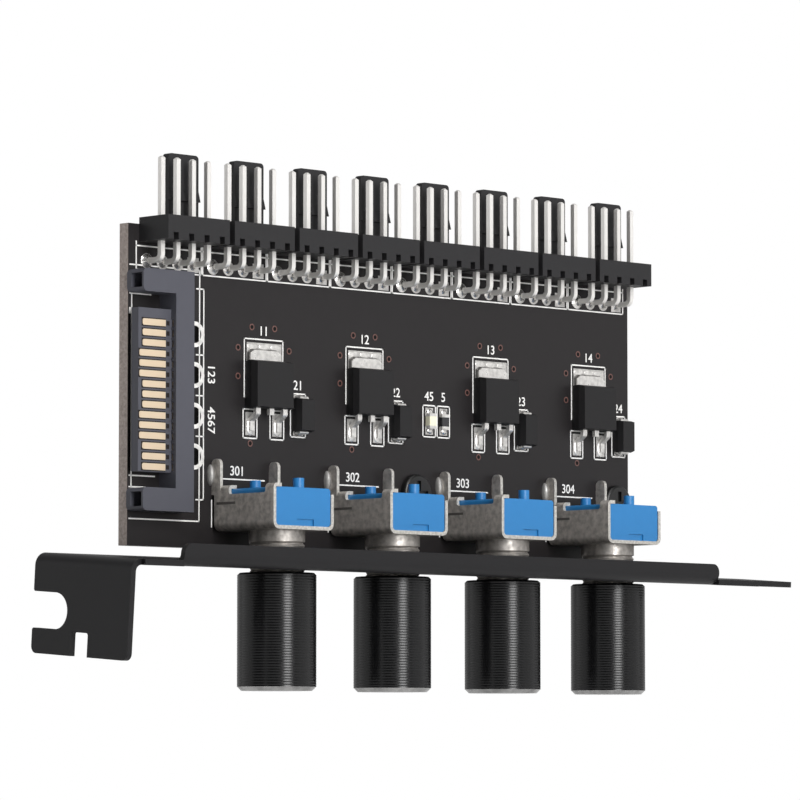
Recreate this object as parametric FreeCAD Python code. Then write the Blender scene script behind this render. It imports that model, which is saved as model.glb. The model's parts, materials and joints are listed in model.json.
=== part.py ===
import FreeCAD, Part
import math
import os

# A card that fits a computer's expansion slot: four speed knobs under a slot bracket,
# and a board above it with four potentiometers, four transistors, eight fan headers
# and a power plug. Millimetres and degrees. The origin is the centre of the screw slot
# on the bracket tab's seating face; +X runs along the bracket, +Z is up the board and
# away from the knobs, and the board's components face -Y.

V = FreeCAD.Vector

# Slot bracket, one folded sheet. It hangs on the potentiometers with no nuts, so that
# its front edge leans down from square to the board.
SHEET = 0.75
BEND_RADIUS = 0.8
BRACKET_LENGTH = 120.02
BRACKET_WIDTH = 18.42
BRACKET_LEAN = 4.0
TAB_DROP = 11.43
TAB_INSET = 0.7
SLOT_WIDTH = 4.42
SLOT_DEPTH = 6.4
SLOT_BELOW_TOP = 6.9
SLOT_MOUTH_CORNER = 0.3
NOTCH_WIDTH = 3.1
NOTCH_HEIGHT = 2.9
NOTCH_FROM_BACK = 7.3
NOTCH_CORNER = 0.3
TAB_CORNER = 0.9
FLANGE_START = 7.0
FLANGE_TO_SHOULDER = 8.0
FLANGE_HEIGHT = 2.8
FLANGE_CORNER = 1.2
TIP_LENGTH = 8.9
TIP_WIDTH = 10.19
TIP_FROM_FRONT = 1.2
TIP_CORNER = 1.4

# Fan headers, eight in a row along the board's top edge
HEADER_COUNT = 8
FAN_PINS = 4
FAN_PIN_SPACING = 2.54
HEADER_GAP = 0.84
HEADER_FROM_END = 1.78
PIN_SIDE = 0.64
PIN_TIP = 0.2
PIN_FROM_BOARD = 2.7
PIN_BEND = 0.75
HEADER_DEPTH = 5.45
HEADER_HEIGHT = 3.0
HEADER_ABOVE_PADS = 2.3
HEADER_NOTCH = 0.85
PIN_ABOVE_HEADER = 7.5
GUIDE_START = 2.45
GUIDE_WIDTH = 5.0
GUIDE_THICK = 1.1
GUIDE_GAP = 0.1
GUIDE_HEIGHT = 8.25
GUIDE_CORNER = 0.5
CATCH_BOTTOM = 2.4
CATCH_TOP = 3.8
CATCH_DEPTH = 0.4

# Board, placed from the bracket
BOARD_END_MARGIN = 1.06
BOARD_HEIGHT = 39.7
BOARD_THICK = 1.6
BOARD_FROM_SEAT = 11.5
BOARD_ABOVE_PLATE = 1.75
PADS_BELOW_TOP = 4.5
HOLE_PLAY = 0.05
TAIL_LENGTH = 1.0

# Power plug, fifteen contacts on a tongue between two guide arms
PLUG_BELOW_PADS = 1.25
PLUG_START = -0.15
PLUG_DEPTH = 3.1
PLUG_BLOCK_START = 5.2
PLUG_BLOCK_LENGTH = 3.0
ARM_HEIGHT = 2.85
ARM_SLOT_HEIGHT = 1.8
ARM_SLOT_DEPTH = 2.0
ARM_SLOT_WALL = 0.3
ARM_SLOT_LENGTH = 3.6
ARM_CORNER = 0.6
TONGUE_GAP = 1.95
TONGUE_KEY_END = 1.1
TONGUE_THICK = 1.23
TONGUE_FRONT = 2.15
CONTACT_COUNT = 15
CONTACTS_IN_GROUP = 3
CONTACT_SPACING = 1.27
CONTACT_HEIGHT = 0.8
CONTACT_THICK = 0.25
CONTACT_PROUD = 0.06
CONTACT_TIP = 0.25
CONTACT_FROM_END = 0.15
CONTACT_SET_BACK = 0.5
CONTACT_POCKET = 0.45
CONTACT_TAIL_SIDE = 0.5
CONTACT_TAIL_NEAR = 0.8
CONTACT_ROW_STEP = 1.3

# Spare through holes for another plug, beside the fitted one
SPARE_HOLES = 4
SPARE_HOLE_D = 2.2
SPARE_HOLE_FROM_PLUG = 2.8
SPARE_HOLE_LOWEST = 11.35
SPARE_HOLE_STEP = 5.08

# Power transistors, each placed along the board from its own potentiometer
TRANSISTOR_FROM_POT = (3.65, 1.3, 4.4, 3.2)
TRANSISTOR_Z = 17.75
TRANSISTOR_WIDTH = 6.6
TRANSISTOR_HEIGHT = 6.1
TRANSISTOR_DEPTH = 2.3
TRANSISTOR_PARTING = 1.35
TRANSISTOR_DRAFT = 0.22
LEAD_SHEET = 0.5
HEAT_TAB_WIDTH = 5.3
HEAT_TAB_REACH = 1.35
HEAT_TAB_CORNER = 0.7
HEAT_TAB_CORNER_RISE = 0.45
HEAT_TAB_INSET = 0.9
LEG_SPACING = 4.6
LEG_WIDTH = 0.76
LEG_LENGTH = 2.75
LEG_STRAIGHT = 0.75
LEG_FOOT = 1.2
STUB_LENGTH = 0.75

# Clamp diodes, placed in the same way
DIODE_FROM_POT = (9.6, 6.9, 10.2, 9.1)
DIODE_Z = 17.3
DIODE_LENGTH = 4.3
DIODE_WIDTH = 2.6
DIODE_DEPTH = 2.0
DIODE_STANDOFF = 0.15
DIODE_PARTING = 1.1
DIODE_DRAFT = 0.2
TERMINAL_SHEET = 0.25
TERMINAL_WIDTH = 1.5
TERMINAL_FOOT = 1.1

# Lamp and resistor, two chips of one size, placed from the third potentiometer
CHIP_POT = 2
CHIP_Z = 17.7
LAMP_FROM_POT = -7.0
RESISTOR_FROM_POT = -4.4
CHIP_LENGTH = 2.0
CHIP_WIDTH = 1.25
CHIP_CAP = 0.4
RESISTOR_DEPTH = 0.5
LAMP_DEPTH = 0.8

# Plastic rivets beside the second and fourth potentiometers
RIVET_POTS = (1, 3)
RIVET_FROM_POT = (10.3, 8.4)
RIVET_Z = 8.15
RIVET_HEAD_D = 5.0
RIVET_HEAD_HEIGHT = 0.9
RIVET_SHANK_D = 3.0
RIVET_SLOT_LENGTH = 3.3
RIVET_SLOT = 0.7
RIVET_SLOT_DEPTH = 0.35
RIVET_BARB = 0.3
RIVET_BARB_LENGTH = 1.2

# Potentiometers: a sheet shell round a moulded body, shaft pointing down
POT_COUNT = 4
POT_FIRST_X = 19.0
POT_TO_END = 11.0
POT_AXIS_FROM_BOARD = 6.5
POT_ABOVE_EDGE = 2.15
SHAFT_D = 6.0
SHAFT_PLAY = 0.05
SHAFT_END_GAP = 0.86
SHAFT_FLAT = 1.5
FLAT_BELOW_SHELF = 0.7
SHAFT_COLLAR_REACH = 0.4
SHAFT_COLLAR = 0.3
SHAFT_NECK_D = 3.0
AXIAL_PLAY = 0.1
BUSHING_WALL = 0.45
BUSHING_PLAY = 0.15
BUSHING_IN_KNOB = 1.4
BUSHING_HEAD_REACH = 0.4
BUSHING_HEAD = 0.3
BUSHING_CHAMFER = 0.3
SHELL_SHEET = 0.45
SHELL_BACK = 0.5
SHELL_CORNER = 0.9
CRIMP_WIDTH = 1.5
CRIMP_REACH = 0.9
CRIMP_RISE = 0.7
CRIMP_BEND = 0.6
CRIMP_REAR = 1.7
CRIMP_FOOT_CORNER = 0.3
LUG_HEIGHT = 9.0
LUG_WIDTH = 1.6
LUG_CORNER = 0.7
PRONG_HEIGHT = 1.2
PRONG_BELOW_TOP = 1.4
BODY_TOP = 5.2
BODY_PLAY = 0.05
BODY_RECESS = 0.12
BODY_BACK = 1.3
BODY_ROOF = 0.8
BODY_CORNER = 0.4
BODY_SIDE_WALL = 0.5
BODY_FRONT_WALL = 0.68
GATE_START = -1.0
GATE_END = 1.8
GATE_TOP = 1.3
GATE_DEPTH = 0.2
PEG_D = 1.4
PEG_HEIGHT = 1.2
PEG_BACK = 2.5
PEG_FROM_FRONT = 1.0
CAVITY_PLAY = 0.2
ROTOR_PLAY = 0.4
ROTOR_THICK = 1.0
ROTOR_FIT = 0.02
FINGER_WIDTH = 0.8
FINGER_THICK = 0.2
FINGER_INSET = 0.75
FINGER_GAP = 0.05
TRACK_PLAY = 0.15
TRACK_HOLE_PLAY = 0.3
TRACK_THICK = 0.5
TRACK_REAR = 2.8
STRIP_SPACING = 2.5
STRIP_WIDTH = 0.8
STRIP_THICK = 0.3

# Knobs, pushed on the flatted shafts
KNOB_D = 9.8
KNOB_LENGTH = 14.6
KNOB_GAP = 0.6
KNOB_CHAMFER = 0.5
KNOB_MOUTH_CHAMFER = 0.25
KNOB_END_WALL = 2.2
KNOB_BORE_FIT = 0.02
KNOB_MOUTH_PLAY = 0.4
KNOB_KEY_ROOT = 0.15

# Places on the bracket before it leans
PLATE_TOP = SLOT_BELOW_TOP
PLATE_UNDER = PLATE_TOP - SHEET
BRACKET_BACK = SLOT_DEPTH - SLOT_WIDTH / 2
BRACKET_FRONT = BRACKET_BACK - BRACKET_WIDTH
BRACKET_MIDDLE = BRACKET_BACK - BRACKET_WIDTH / 2
TAB_FRONT = BRACKET_FRONT + TAB_INSET
SHOULDER = BRACKET_LENGTH - SHEET - TIP_LENGTH
FLANGE_END = SHOULDER - FLANGE_TO_SHOULDER

# The line through the middle of the bracket's holes once it leans
LEAN = math.radians(BRACKET_LEAN)
HOLE_LINE_Z = PLATE_TOP - SHEET / 2
AXIS_Y = BRACKET_MIDDLE * math.cos(LEAN) - HOLE_LINE_Z * math.sin(LEAN)
PLATE_Z = BRACKET_MIDDLE * math.sin(LEAN) + HOLE_LINE_Z * math.cos(LEAN)

# Board and plug
BOARD_FACE = AXIS_Y + POT_AXIS_FROM_BOARD
BOARD_BOTTOM = PLATE_Z + SHEET / 2 + BOARD_ABOVE_PLATE
PAD_Z = BOARD_BOTTOM + BOARD_HEIGHT - PADS_BELOW_TOP
HEADER_SPACING = FAN_PINS * FAN_PIN_SPACING + HEADER_GAP
HEADER_ROW = HEADER_COUNT * HEADER_SPACING - HEADER_GAP
BOARD_LENGTH = HEADER_FROM_END + HEADER_ROW + BOARD_END_MARGIN
HEADER_UNDER = PAD_Z + HEADER_ABOVE_PADS
HEADER_TOP = HEADER_UNDER + HEADER_HEIGHT
TONGUE_HEIGHT = CONTACT_COUNT * CONTACT_SPACING + TONGUE_KEY_END
PLUG_TOP = PAD_Z - PLUG_BELOW_PADS
UPPER_ARM = PLUG_TOP - ARM_HEIGHT
TONGUE_HIGH = UPPER_ARM - TONGUE_GAP
TONGUE_LOW = TONGUE_HIGH - TONGUE_HEIGHT
LOWER_ARM = TONGUE_LOW - TONGUE_GAP - ARM_HEIGHT
PLUG_END = PLUG_BLOCK_START + PLUG_BLOCK_LENGTH

# Potentiometer, from the shaft outwards
POT_BASE = BOARD_BOTTOM + POT_ABOVE_EDGE
POT_STEP = (BOARD_LENGTH - POT_FIRST_X - POT_TO_END) / (POT_COUNT - 1)
BUSHING_D = SHAFT_D + 2 * (SHAFT_PLAY + BUSHING_WALL)
BUSHING_HEAD_D = BUSHING_D + 2 * BUSHING_HEAD_REACH
CAVITY_D = BUSHING_HEAD_D + 2 * CAVITY_PLAY
ROTOR_D = CAVITY_D - 2 * ROTOR_PLAY
TRACK_D = CAVITY_D - 2 * TRACK_PLAY
BODY_WIDTH = CAVITY_D + 2 * BODY_SIDE_WALL
SHELL_WIDTH = BODY_WIDTH + 2 * (BODY_PLAY + SHELL_SHEET)
SHELL_FRONT = POT_AXIS_FROM_BOARD + CAVITY_D / 2 + BODY_FRONT_WALL + BODY_RECESS
WALL_HEIGHT = BODY_TOP - CRIMP_RISE
ROOF_UNDER = BODY_TOP - BODY_ROOF
TRACK_UNDER = ROOF_UNDER - TRACK_THICK
COLLAR_UNDER = SHELL_SHEET + BUSHING_HEAD + AXIAL_PLAY
COLLAR_TOP = COLLAR_UNDER + SHAFT_COLLAR
ROTOR_TOP = COLLAR_TOP + ROTOR_THICK

# Knob, shaft end and bushing end
KNOB_TOP = PLATE_Z - SHEET / 2 - KNOB_GAP
KNOB_END = KNOB_TOP - KNOB_LENGTH
BORE_BOTTOM = KNOB_END + KNOB_END_WALL
SHAFT_END = BORE_BOTTOM + SHAFT_END_GAP
BUSHING_END = KNOB_TOP - BUSHING_IN_KNOB
KNOB_SHELF = BUSHING_END - KNOB_MOUTH_PLAY
FLAT_TOP = KNOB_SHELF - FLAT_BELOW_SHELF

# How far a cutter runs past what it cuts, and when two points count as one
PROUD = 1.0
SAME_POINT = 1e-6


def box(x, y, z):
    """A block between the two ends given for each direction."""
    size = [max(pair) - min(pair) for pair in (x, y, z)]
    return Part.makeBox(size[0], size[1], size[2], V(min(x), min(y), min(z)))


def rod(diameter, start, end):
    """A round bar from one point to another."""
    run = end - start
    return Part.makeCylinder(diameter / 2, run.Length, start, run)


def rounded_wire(corners, place):
    """A closed wire through corners (u, v) or (u, v, radius), mapped to space by place."""
    edges = []
    starts = []
    ends = []
    middles = []
    count = len(corners)
    for i, corner in enumerate(corners):
        here = V(corner[0], corner[1], 0)
        radius = corner[2] if len(corner) > 2 else 0
        before = V(corners[i - 1][0], corners[i - 1][1], 0) - here
        after = V(corners[(i + 1) % count][0], corners[(i + 1) % count][1], 0) - here
        before.normalize()
        after.normalize()
        half = before.getAngle(after) / 2
        reach = radius / math.tan(half)
        bisector = (before + after).normalize() if radius else V(0, 0, 0)
        centre_gap = radius / math.sin(half) if radius else 0
        starts.append(here + before * reach)
        ends.append(here + after * reach)
        middles.append(here + bisector * (centre_gap - radius) if radius else None)
    for i in range(count):
        if middles[i] is not None:
            arc = [place(p.x, p.y) for p in (starts[i], middles[i], ends[i])]
            edges.append(Part.Arc(*arc).toShape())
        leave = place(ends[i].x, ends[i].y)
        reach_next = place(starts[(i + 1) % count].x, starts[(i + 1) % count].y)
        if leave.distanceToPoint(reach_next) > SAME_POINT:
            edges.append(Part.LineSegment(leave, reach_next).toShape())
    return Part.Wire(edges)


def slab_x(corners, start, end):
    """A (Y, Z) outline pushed along X."""
    face = Part.Face(rounded_wire(corners, lambda u, v: V(start, u, v)))
    return face.extrude(V(end - start, 0, 0))


def slab_y(corners, start, end):
    """An (X, Z) outline pushed along Y."""
    face = Part.Face(rounded_wire(corners, lambda u, v: V(u, start, v)))
    return face.extrude(V(0, end - start, 0))


def slab_z(corners, start, end):
    """An (X, Y) outline pushed along Z."""
    face = Part.Face(rounded_wire(corners, lambda u, v: V(u, v, start)))
    return face.extrude(V(0, 0, end - start))


def turned(corners, x, y):
    """A (radius, Z) outline turned about the vertical line through x and y."""
    face = Part.Face(rounded_wire(corners, lambda u, v: V(x + u, y, v)))
    return face.revolve(V(x, y, 0), V(0, 0, 1), 360)


def drafted(x, z, sections):
    """A moulded block on the board: each section is its depth, width and height."""
    wires = []
    for depth, width, height in sections:
        y = BOARD_FACE - depth
        half_w = width / 2
        half_h = height / 2
        ring = [V(x - half_w, y, z - half_h), V(x + half_w, y, z - half_h)]
        ring += [V(x + half_w, y, z + half_h), V(x - half_w, y, z + half_h)]
        wires.append(Part.makePolygon(ring + ring[:1]))
    return Part.makeLoft(wires, True, True)


def joined(shapes):
    """Touching or overlapping shapes as one clean solid."""
    whole = shapes[0].fuse(shapes[1:]) if len(shapes) > 1 else shapes[0]
    return whole.removeSplitter()


def save(node, shapes):
    """One STEP file for a node, which may be a group of like solids."""
    group = shapes if isinstance(shapes, list) else [shapes]
    solids = [solid for shape in group for solid in shape.Solids]
    whole = solids[0] if len(solids) == 1 else Part.makeCompound(solids)
    whole.exportStep("parts/" + node + ".step")


def pot_x(number):
    return BOARD_FROM_SEAT + POT_FIRST_X + number * POT_STEP


def header_start(header):
    return BOARD_FROM_SEAT + HEADER_FROM_END + header * HEADER_SPACING


def header_pin_x(header, pin):
    return header_start(header) + (pin + 0.5) * FAN_PIN_SPACING


def contact_z(number):
    from_below = CONTACT_COUNT - 1 - number
    return TONGUE_LOW + (from_below + 0.5) * CONTACT_SPACING


def contact_row_x(number):
    near = PLUG_BLOCK_START + CONTACT_TAIL_NEAR
    return BOARD_FROM_SEAT + near + (1 - number % 2) * CONTACT_ROW_STEP


def spare_hole_z(number):
    return BOARD_BOTTOM + SPARE_HOLE_LOWEST + number * SPARE_HOLE_STEP


def pot_terminal_x(pot, terminal):
    return pot_x(pot) + (terminal - 1) * STRIP_SPACING


def prong_z():
    """The lower and upper edge of a shell lug's prong."""
    top = POT_BASE + LUG_HEIGHT - PRONG_BELOW_TOP
    return top - PRONG_HEIGHT, top


def strip_z():
    """The lower and upper face of a potentiometer's terminal strips."""
    low = POT_BASE + TRACK_UNDER + (TRACK_THICK - STRIP_THICK) / 2
    return low, low + STRIP_THICK


def wall_x(pot, side):
    """The outer and inner face of a shell wall; side is -1 or 1."""
    outer = pot_x(pot) + side * SHELL_WIDTH / 2
    return outer, outer - side * SHELL_SHEET


def bracket_plate():
    end = BRACKET_LENGTH - SHEET
    fold = BRACKET_FRONT + SHEET + BEND_RADIUS
    tip_front = BRACKET_FRONT + TIP_FROM_FRONT
    tip_back = tip_front + TIP_WIDTH
    corners = [
        (BEND_RADIUS, BRACKET_BACK),
        (SHOULDER, BRACKET_BACK, TAB_CORNER),
        (SHOULDER, tip_back),
        (end, tip_back, TIP_CORNER),
        (end, tip_front, TIP_CORNER),
        (SHOULDER, tip_front),
        (SHOULDER, BRACKET_FRONT),
        (FLANGE_END, BRACKET_FRONT),
        (FLANGE_END, fold),
        (FLANGE_START, fold),
        (FLANGE_START, BRACKET_FRONT),
        (BEND_RADIUS, BRACKET_FRONT),
    ]
    plate = slab_z(corners, PLATE_UNDER, PLATE_TOP)
    for pot in range(POT_COUNT):
        low = V(pot_x(pot), BRACKET_MIDDLE, PLATE_UNDER - PROUD)
        high = V(pot_x(pot), BRACKET_MIDDLE, PLATE_TOP + PROUD)
        plate = plate.cut(rod(BUSHING_D + 2 * BUSHING_PLAY, low, high))
    return plate


def bracket_flange():
    fold = BRACKET_FRONT + SHEET + BEND_RADIUS
    top = PLATE_UNDER + FLANGE_HEIGHT
    profile = [
        (fold, PLATE_UNDER),
        (fold, PLATE_TOP),
        (BRACKET_FRONT + SHEET, PLATE_TOP, BEND_RADIUS),
        (BRACKET_FRONT + SHEET, top),
        (BRACKET_FRONT, top),
        (BRACKET_FRONT, PLATE_UNDER, BEND_RADIUS + SHEET),
    ]
    outline = [
        (FLANGE_START, PLATE_UNDER),
        (FLANGE_END, PLATE_UNDER),
        (FLANGE_END, top, FLANGE_CORNER),
        (FLANGE_START, top, FLANGE_CORNER),
    ]
    fold_strip = slab_x(profile, FLANGE_START, FLANGE_END)
    return fold_strip.common(slab_y(outline, BRACKET_FRONT, fold))


def bracket_tab():
    bottom = PLATE_UNDER - TAB_DROP
    fold = PLATE_UNDER - BEND_RADIUS
    notch_back = BRACKET_BACK - NOTCH_FROM_BACK
    notch_front = notch_back - NOTCH_WIDTH
    half_slot = SLOT_WIDTH / 2
    corners = [
        (TAB_FRONT, fold),
        (TAB_FRONT, bottom, TAB_CORNER),
        (notch_front, bottom),
        (notch_front, bottom + NOTCH_HEIGHT, NOTCH_CORNER),
        (notch_back, bottom + NOTCH_HEIGHT, NOTCH_CORNER),
        (notch_back, bottom),
        (BRACKET_BACK, bottom, TAB_CORNER),
        (BRACKET_BACK, -half_slot, SLOT_MOUTH_CORNER),
        (0, -half_slot),
        (0, half_slot),
        (BRACKET_BACK, half_slot, SLOT_MOUTH_CORNER),
        (BRACKET_BACK, fold),
    ]
    tab = slab_x(corners, -SHEET, 0)
    return tab.cut(rod(SLOT_WIDTH, V(-SHEET - PROUD, 0, 0), V(PROUD, 0, 0)))


def bracket():
    """The folded sheet, turned about the screw slot so that its front edge leans down."""
    fold = PLATE_UNDER - BEND_RADIUS
    profile = [
        (-SHEET, fold),
        (-SHEET, PLATE_TOP, BEND_RADIUS + SHEET),
        (BEND_RADIUS, PLATE_TOP),
        (BEND_RADIUS, PLATE_UNDER),
        (0, PLATE_UNDER, BEND_RADIUS),
        (0, fold),
    ]
    bend = slab_y(profile, TAB_FRONT, BRACKET_BACK)
    sheet = joined([bracket_plate(), bend, bracket_tab(), bracket_flange()])
    sheet.rotate(V(0, 0, 0), V(1, 0, 0), BRACKET_LEAN)
    return sheet


def square_hole(x, z, side):
    half = side / 2 + HOLE_PLAY
    through = (BOARD_FACE - PROUD, BOARD_FACE + BOARD_THICK + PROUD)
    return box((x - half, x + half), through, (z - half, z + half))


def round_hole(x, z, diameter):
    low = V(x, BOARD_FACE - PROUD, z)
    high = V(x, BOARD_FACE + BOARD_THICK + PROUD, z)
    return rod(diameter, low, high)


def pot_holes(pot):
    through = (BOARD_FACE - PROUD, BOARD_FACE + BOARD_THICK + PROUD)
    low, high = strip_z()
    half = STRIP_WIDTH / 2 + HOLE_PLAY
    holes = []
    for terminal in range(3):
        x = pot_terminal_x(pot, terminal)
        holes.append(box((x - half, x + half), through, (low - HOLE_PLAY, high + HOLE_PLAY)))
    low, high = prong_z()
    for side in (-1, 1):
        outer, inner = wall_x(pot, side)
        slot = (outer + side * HOLE_PLAY, inner - side * HOLE_PLAY)
        holes.append(box(slot, through, (low - HOLE_PLAY, high + HOLE_PLAY)))
    return holes


def board():
    length = (BOARD_FROM_SEAT, BOARD_FROM_SEAT + BOARD_LENGTH)
    depth = (BOARD_FACE, BOARD_FACE + BOARD_THICK)
    slab = box(length, depth, (BOARD_BOTTOM, BOARD_BOTTOM + BOARD_HEIGHT))
    holes = []
    for header in range(HEADER_COUNT):
        for pin in range(FAN_PINS):
            holes.append(square_hole(header_pin_x(header, pin), PAD_Z, PIN_SIDE))
    for pot in range(POT_COUNT):
        holes += pot_holes(pot)
    for number in range(CONTACT_COUNT):
        holes.append(square_hole(contact_row_x(number), contact_z(number), CONTACT_TAIL_SIDE))
    for number in range(SPARE_HOLES):
        x = BOARD_FROM_SEAT + PLUG_END + SPARE_HOLE_FROM_PLUG
        holes.append(round_hole(x, spare_hole_z(number), SPARE_HOLE_D))
    for pot, from_pot in zip(RIVET_POTS, RIVET_FROM_POT):
        x = pot_x(pot) + from_pot
        holes.append(round_hole(x, BOARD_BOTTOM + RIVET_Z, RIVET_SHANK_D + 2 * HOLE_PLAY))
    return slab.cut(Part.makeCompound(holes))


def fan_pin(header, pin):
    """A square pin that stands up from the header and turns back into the board."""
    x = header_pin_x(header, pin)
    half = PIN_SIDE / 2
    top = HEADER_TOP + PIN_ABOVE_HEADER
    front = BOARD_FACE - PIN_FROM_BOARD - half
    end = BOARD_FACE + BOARD_THICK + TAIL_LENGTH
    corners = [
        (front, top),
        (front, PAD_Z - half, PIN_BEND + half),
        (end, PAD_Z - half),
        (end, PAD_Z + half),
        (front + PIN_SIDE, PAD_Z + half, PIN_BEND - half),
        (front + PIN_SIDE, top),
    ]
    blank = slab_x(corners, x - half, x + half)
    tip = [edge for edge in blank.Edges if edge.BoundBox.ZMin > top - SAME_POINT]
    return blank.makeChamfer(PIN_TIP, tip)


def fan_pins():
    return [fan_pin(h, p) for h in range(HEADER_COUNT) for p in range(FAN_PINS)]


def header_guide(header):
    """The upright tongue behind the pins, with the catch for a fan lead's hook."""
    back = BOARD_FACE - GUIDE_GAP
    front = back - GUIDE_THICK
    foot = HEADER_TOP - HEADER_HEIGHT / 2
    top = HEADER_TOP + GUIDE_HEIGHT
    left = header_pin_x(header, 0) + GUIDE_START
    profile = [
        (back, foot),
        (back, top),
        (front, top),
        (front, HEADER_TOP + CATCH_TOP),
        (front - CATCH_DEPTH, HEADER_TOP + CATCH_BOTTOM),
        (front, HEADER_TOP + CATCH_BOTTOM),
        (front, foot),
    ]
    outline = [
        (left, foot),
        (left + GUIDE_WIDTH, foot),
        (left + GUIDE_WIDTH, top, GUIDE_CORNER),
        (left, top, GUIDE_CORNER),
    ]
    tongue = slab_x(profile, left, left + GUIDE_WIDTH)
    return tongue.common(slab_y(outline, front - CATCH_DEPTH, back))


def fan_header(header):
    start = header_start(header)
    front = BOARD_FACE - HEADER_DEPTH
    ends = (start, start + FAN_PINS * FAN_PIN_SPACING)
    base = box(ends, (front, BOARD_FACE), (HEADER_UNDER, HEADER_TOP))
    cuts = []
    for pin in range(FAN_PINS):
        x = header_pin_x(header, pin)
        notch = (x - HEADER_NOTCH / 2, x + HEADER_NOTCH / 2)
        rise = (HEADER_UNDER - PROUD, HEADER_UNDER + HEADER_NOTCH)
        cuts.append(box(notch, (front - PROUD, front + HEADER_NOTCH), rise))
        bore = (x - PIN_SIDE / 2, x + PIN_SIDE / 2)
        seat = BOARD_FACE - PIN_FROM_BOARD
        depth = (seat - PIN_SIDE / 2, seat + PIN_SIDE / 2)
        cuts.append(box(bore, depth, (HEADER_UNDER - PROUD, HEADER_TOP + PROUD)))
    base = base.cut(Part.makeCompound(cuts))
    return joined([base, header_guide(header)])


def contact_start(number):
    """Every second group of contacts starts nearer to the tongue's end."""
    group = number // CONTACTS_IN_GROUP
    set_back = 0 if group % 2 else CONTACT_SET_BACK
    return BOARD_FROM_SEAT + PLUG_START + CONTACT_FROM_END + set_back


def plug_contact(number):
    z = contact_z(number)
    half = CONTACT_HEIGHT / 2
    front = BOARD_FACE - TONGUE_FRONT - CONTACT_PROUD
    back = front + CONTACT_THICK
    start = contact_start(number)
    row = contact_row_x(number)
    tail_half = CONTACT_TAIL_SIDE / 2
    blade = slab_y(
        [
            (start, z - half, CONTACT_TIP),
            (row + tail_half, z - half),
            (row + tail_half, z + half),
            (start, z + half, CONTACT_TIP),
        ],
        front,
        back,
    )
    end = BOARD_FACE + BOARD_THICK + TAIL_LENGTH
    tail = box((row - tail_half, row + tail_half), (front, end), (z - tail_half, z + tail_half))
    return joined([blade, tail])


def plug_contacts():
    return [plug_contact(number) for number in range(CONTACT_COUNT)]


def plug_arm(low):
    """One guide arm: it runs on into the block and has a blind keyway in its end face."""
    start = BOARD_FROM_SEAT + PLUG_START
    end = BOARD_FROM_SEAT + PLUG_END
    front = BOARD_FACE - PLUG_DEPTH
    corners = [
        (start, low, ARM_CORNER),
        (end, low),
        (end, low + ARM_HEIGHT),
        (start, low + ARM_HEIGHT, ARM_CORNER),
    ]
    arm = slab_y(corners, front, BOARD_FACE)
    middle = low + ARM_HEIGHT / 2
    along = (start - PROUD, start + ARM_SLOT_LENGTH)
    depth = (front + ARM_SLOT_WALL, front + ARM_SLOT_WALL + ARM_SLOT_DEPTH)
    keyway = box(along, depth, (middle - ARM_SLOT_HEIGHT / 2, middle + ARM_SLOT_HEIGHT / 2))
    return arm.cut(keyway)


def contact_pocket(number):
    """The square recess in the block in front of a contact."""
    z = contact_z(number)
    start = BOARD_FROM_SEAT + PLUG_BLOCK_START
    tongue = BOARD_FACE - TONGUE_FRONT
    along = (start - PROUD, start + CONTACT_POCKET)
    return box(along, (tongue - CONTACT_POCKET, tongue), (z - CONTACT_HEIGHT / 2, z + CONTACT_HEIGHT / 2))


def power_plug(contacts):
    start = BOARD_FROM_SEAT + PLUG_START
    end = BOARD_FROM_SEAT + PLUG_END
    block_start = BOARD_FROM_SEAT + PLUG_BLOCK_START
    block = box((block_start, end), (BOARD_FACE - PLUG_DEPTH, BOARD_FACE), (LOWER_ARM, PLUG_TOP))
    tongue_front = BOARD_FACE - TONGUE_FRONT
    tongue_depth = (tongue_front, tongue_front + TONGUE_THICK)
    tongue = box((start, end), tongue_depth, (TONGUE_LOW, TONGUE_HIGH))
    whole = joined([block, tongue, plug_arm(LOWER_ARM), plug_arm(UPPER_ARM)])
    pockets = [contact_pocket(number) for number in range(CONTACT_COUNT)]
    return whole.cut(Part.makeCompound(pockets)).cut(Part.makeCompound(contacts))


def transistor_leads(x):
    """The heat tab, the cut middle leg and the two outer legs bent to the board."""
    low = BOARD_BOTTOM + TRANSISTOR_Z
    foot = low - LEG_LENGTH
    tab_top = low + TRANSISTOR_HEIGHT + HEAT_TAB_REACH
    half = HEAT_TAB_WIDTH / 2
    corners = [
        (x - half, low + HEAT_TAB_INSET),
        (x + half, low + HEAT_TAB_INSET),
        (x + half, tab_top - HEAT_TAB_CORNER_RISE),
        (x + half - HEAT_TAB_CORNER, tab_top),
        (x - half + HEAT_TAB_CORNER, tab_top),
        (x - half, tab_top - HEAT_TAB_CORNER_RISE),
    ]
    pieces = [slab_y(corners, BOARD_FACE - LEAD_SHEET, BOARD_FACE)]
    front = BOARD_FACE - TRANSISTOR_PARTING - LEAD_SHEET / 2
    back = front + LEAD_SHEET
    profile = [
        (front, low + LEG_STRAIGHT),
        (front, low - LEG_STRAIGHT, LEAD_SHEET),
        (BOARD_FACE - LEAD_SHEET, foot + LEG_FOOT, LEAD_SHEET / 2),
        (BOARD_FACE - LEAD_SHEET, foot),
        (BOARD_FACE, foot),
        (BOARD_FACE, foot + LEG_FOOT + LEAD_SHEET / 2, LEAD_SHEET / 2),
        (back, low - LEG_STRAIGHT + LEAD_SHEET / 2, LEAD_SHEET / 2),
        (back, low + LEG_STRAIGHT),
    ]
    for side in (-1, 1):
        centre = x + side * LEG_SPACING / 2
        pieces.append(slab_x(profile, centre - LEG_WIDTH / 2, centre + LEG_WIDTH / 2))
    stub = (x - LEG_WIDTH / 2, x + LEG_WIDTH / 2)
    pieces.append(box(stub, (front, back), (low - STUB_LENGTH, low + LEG_STRAIGHT)))
    return pieces


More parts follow.
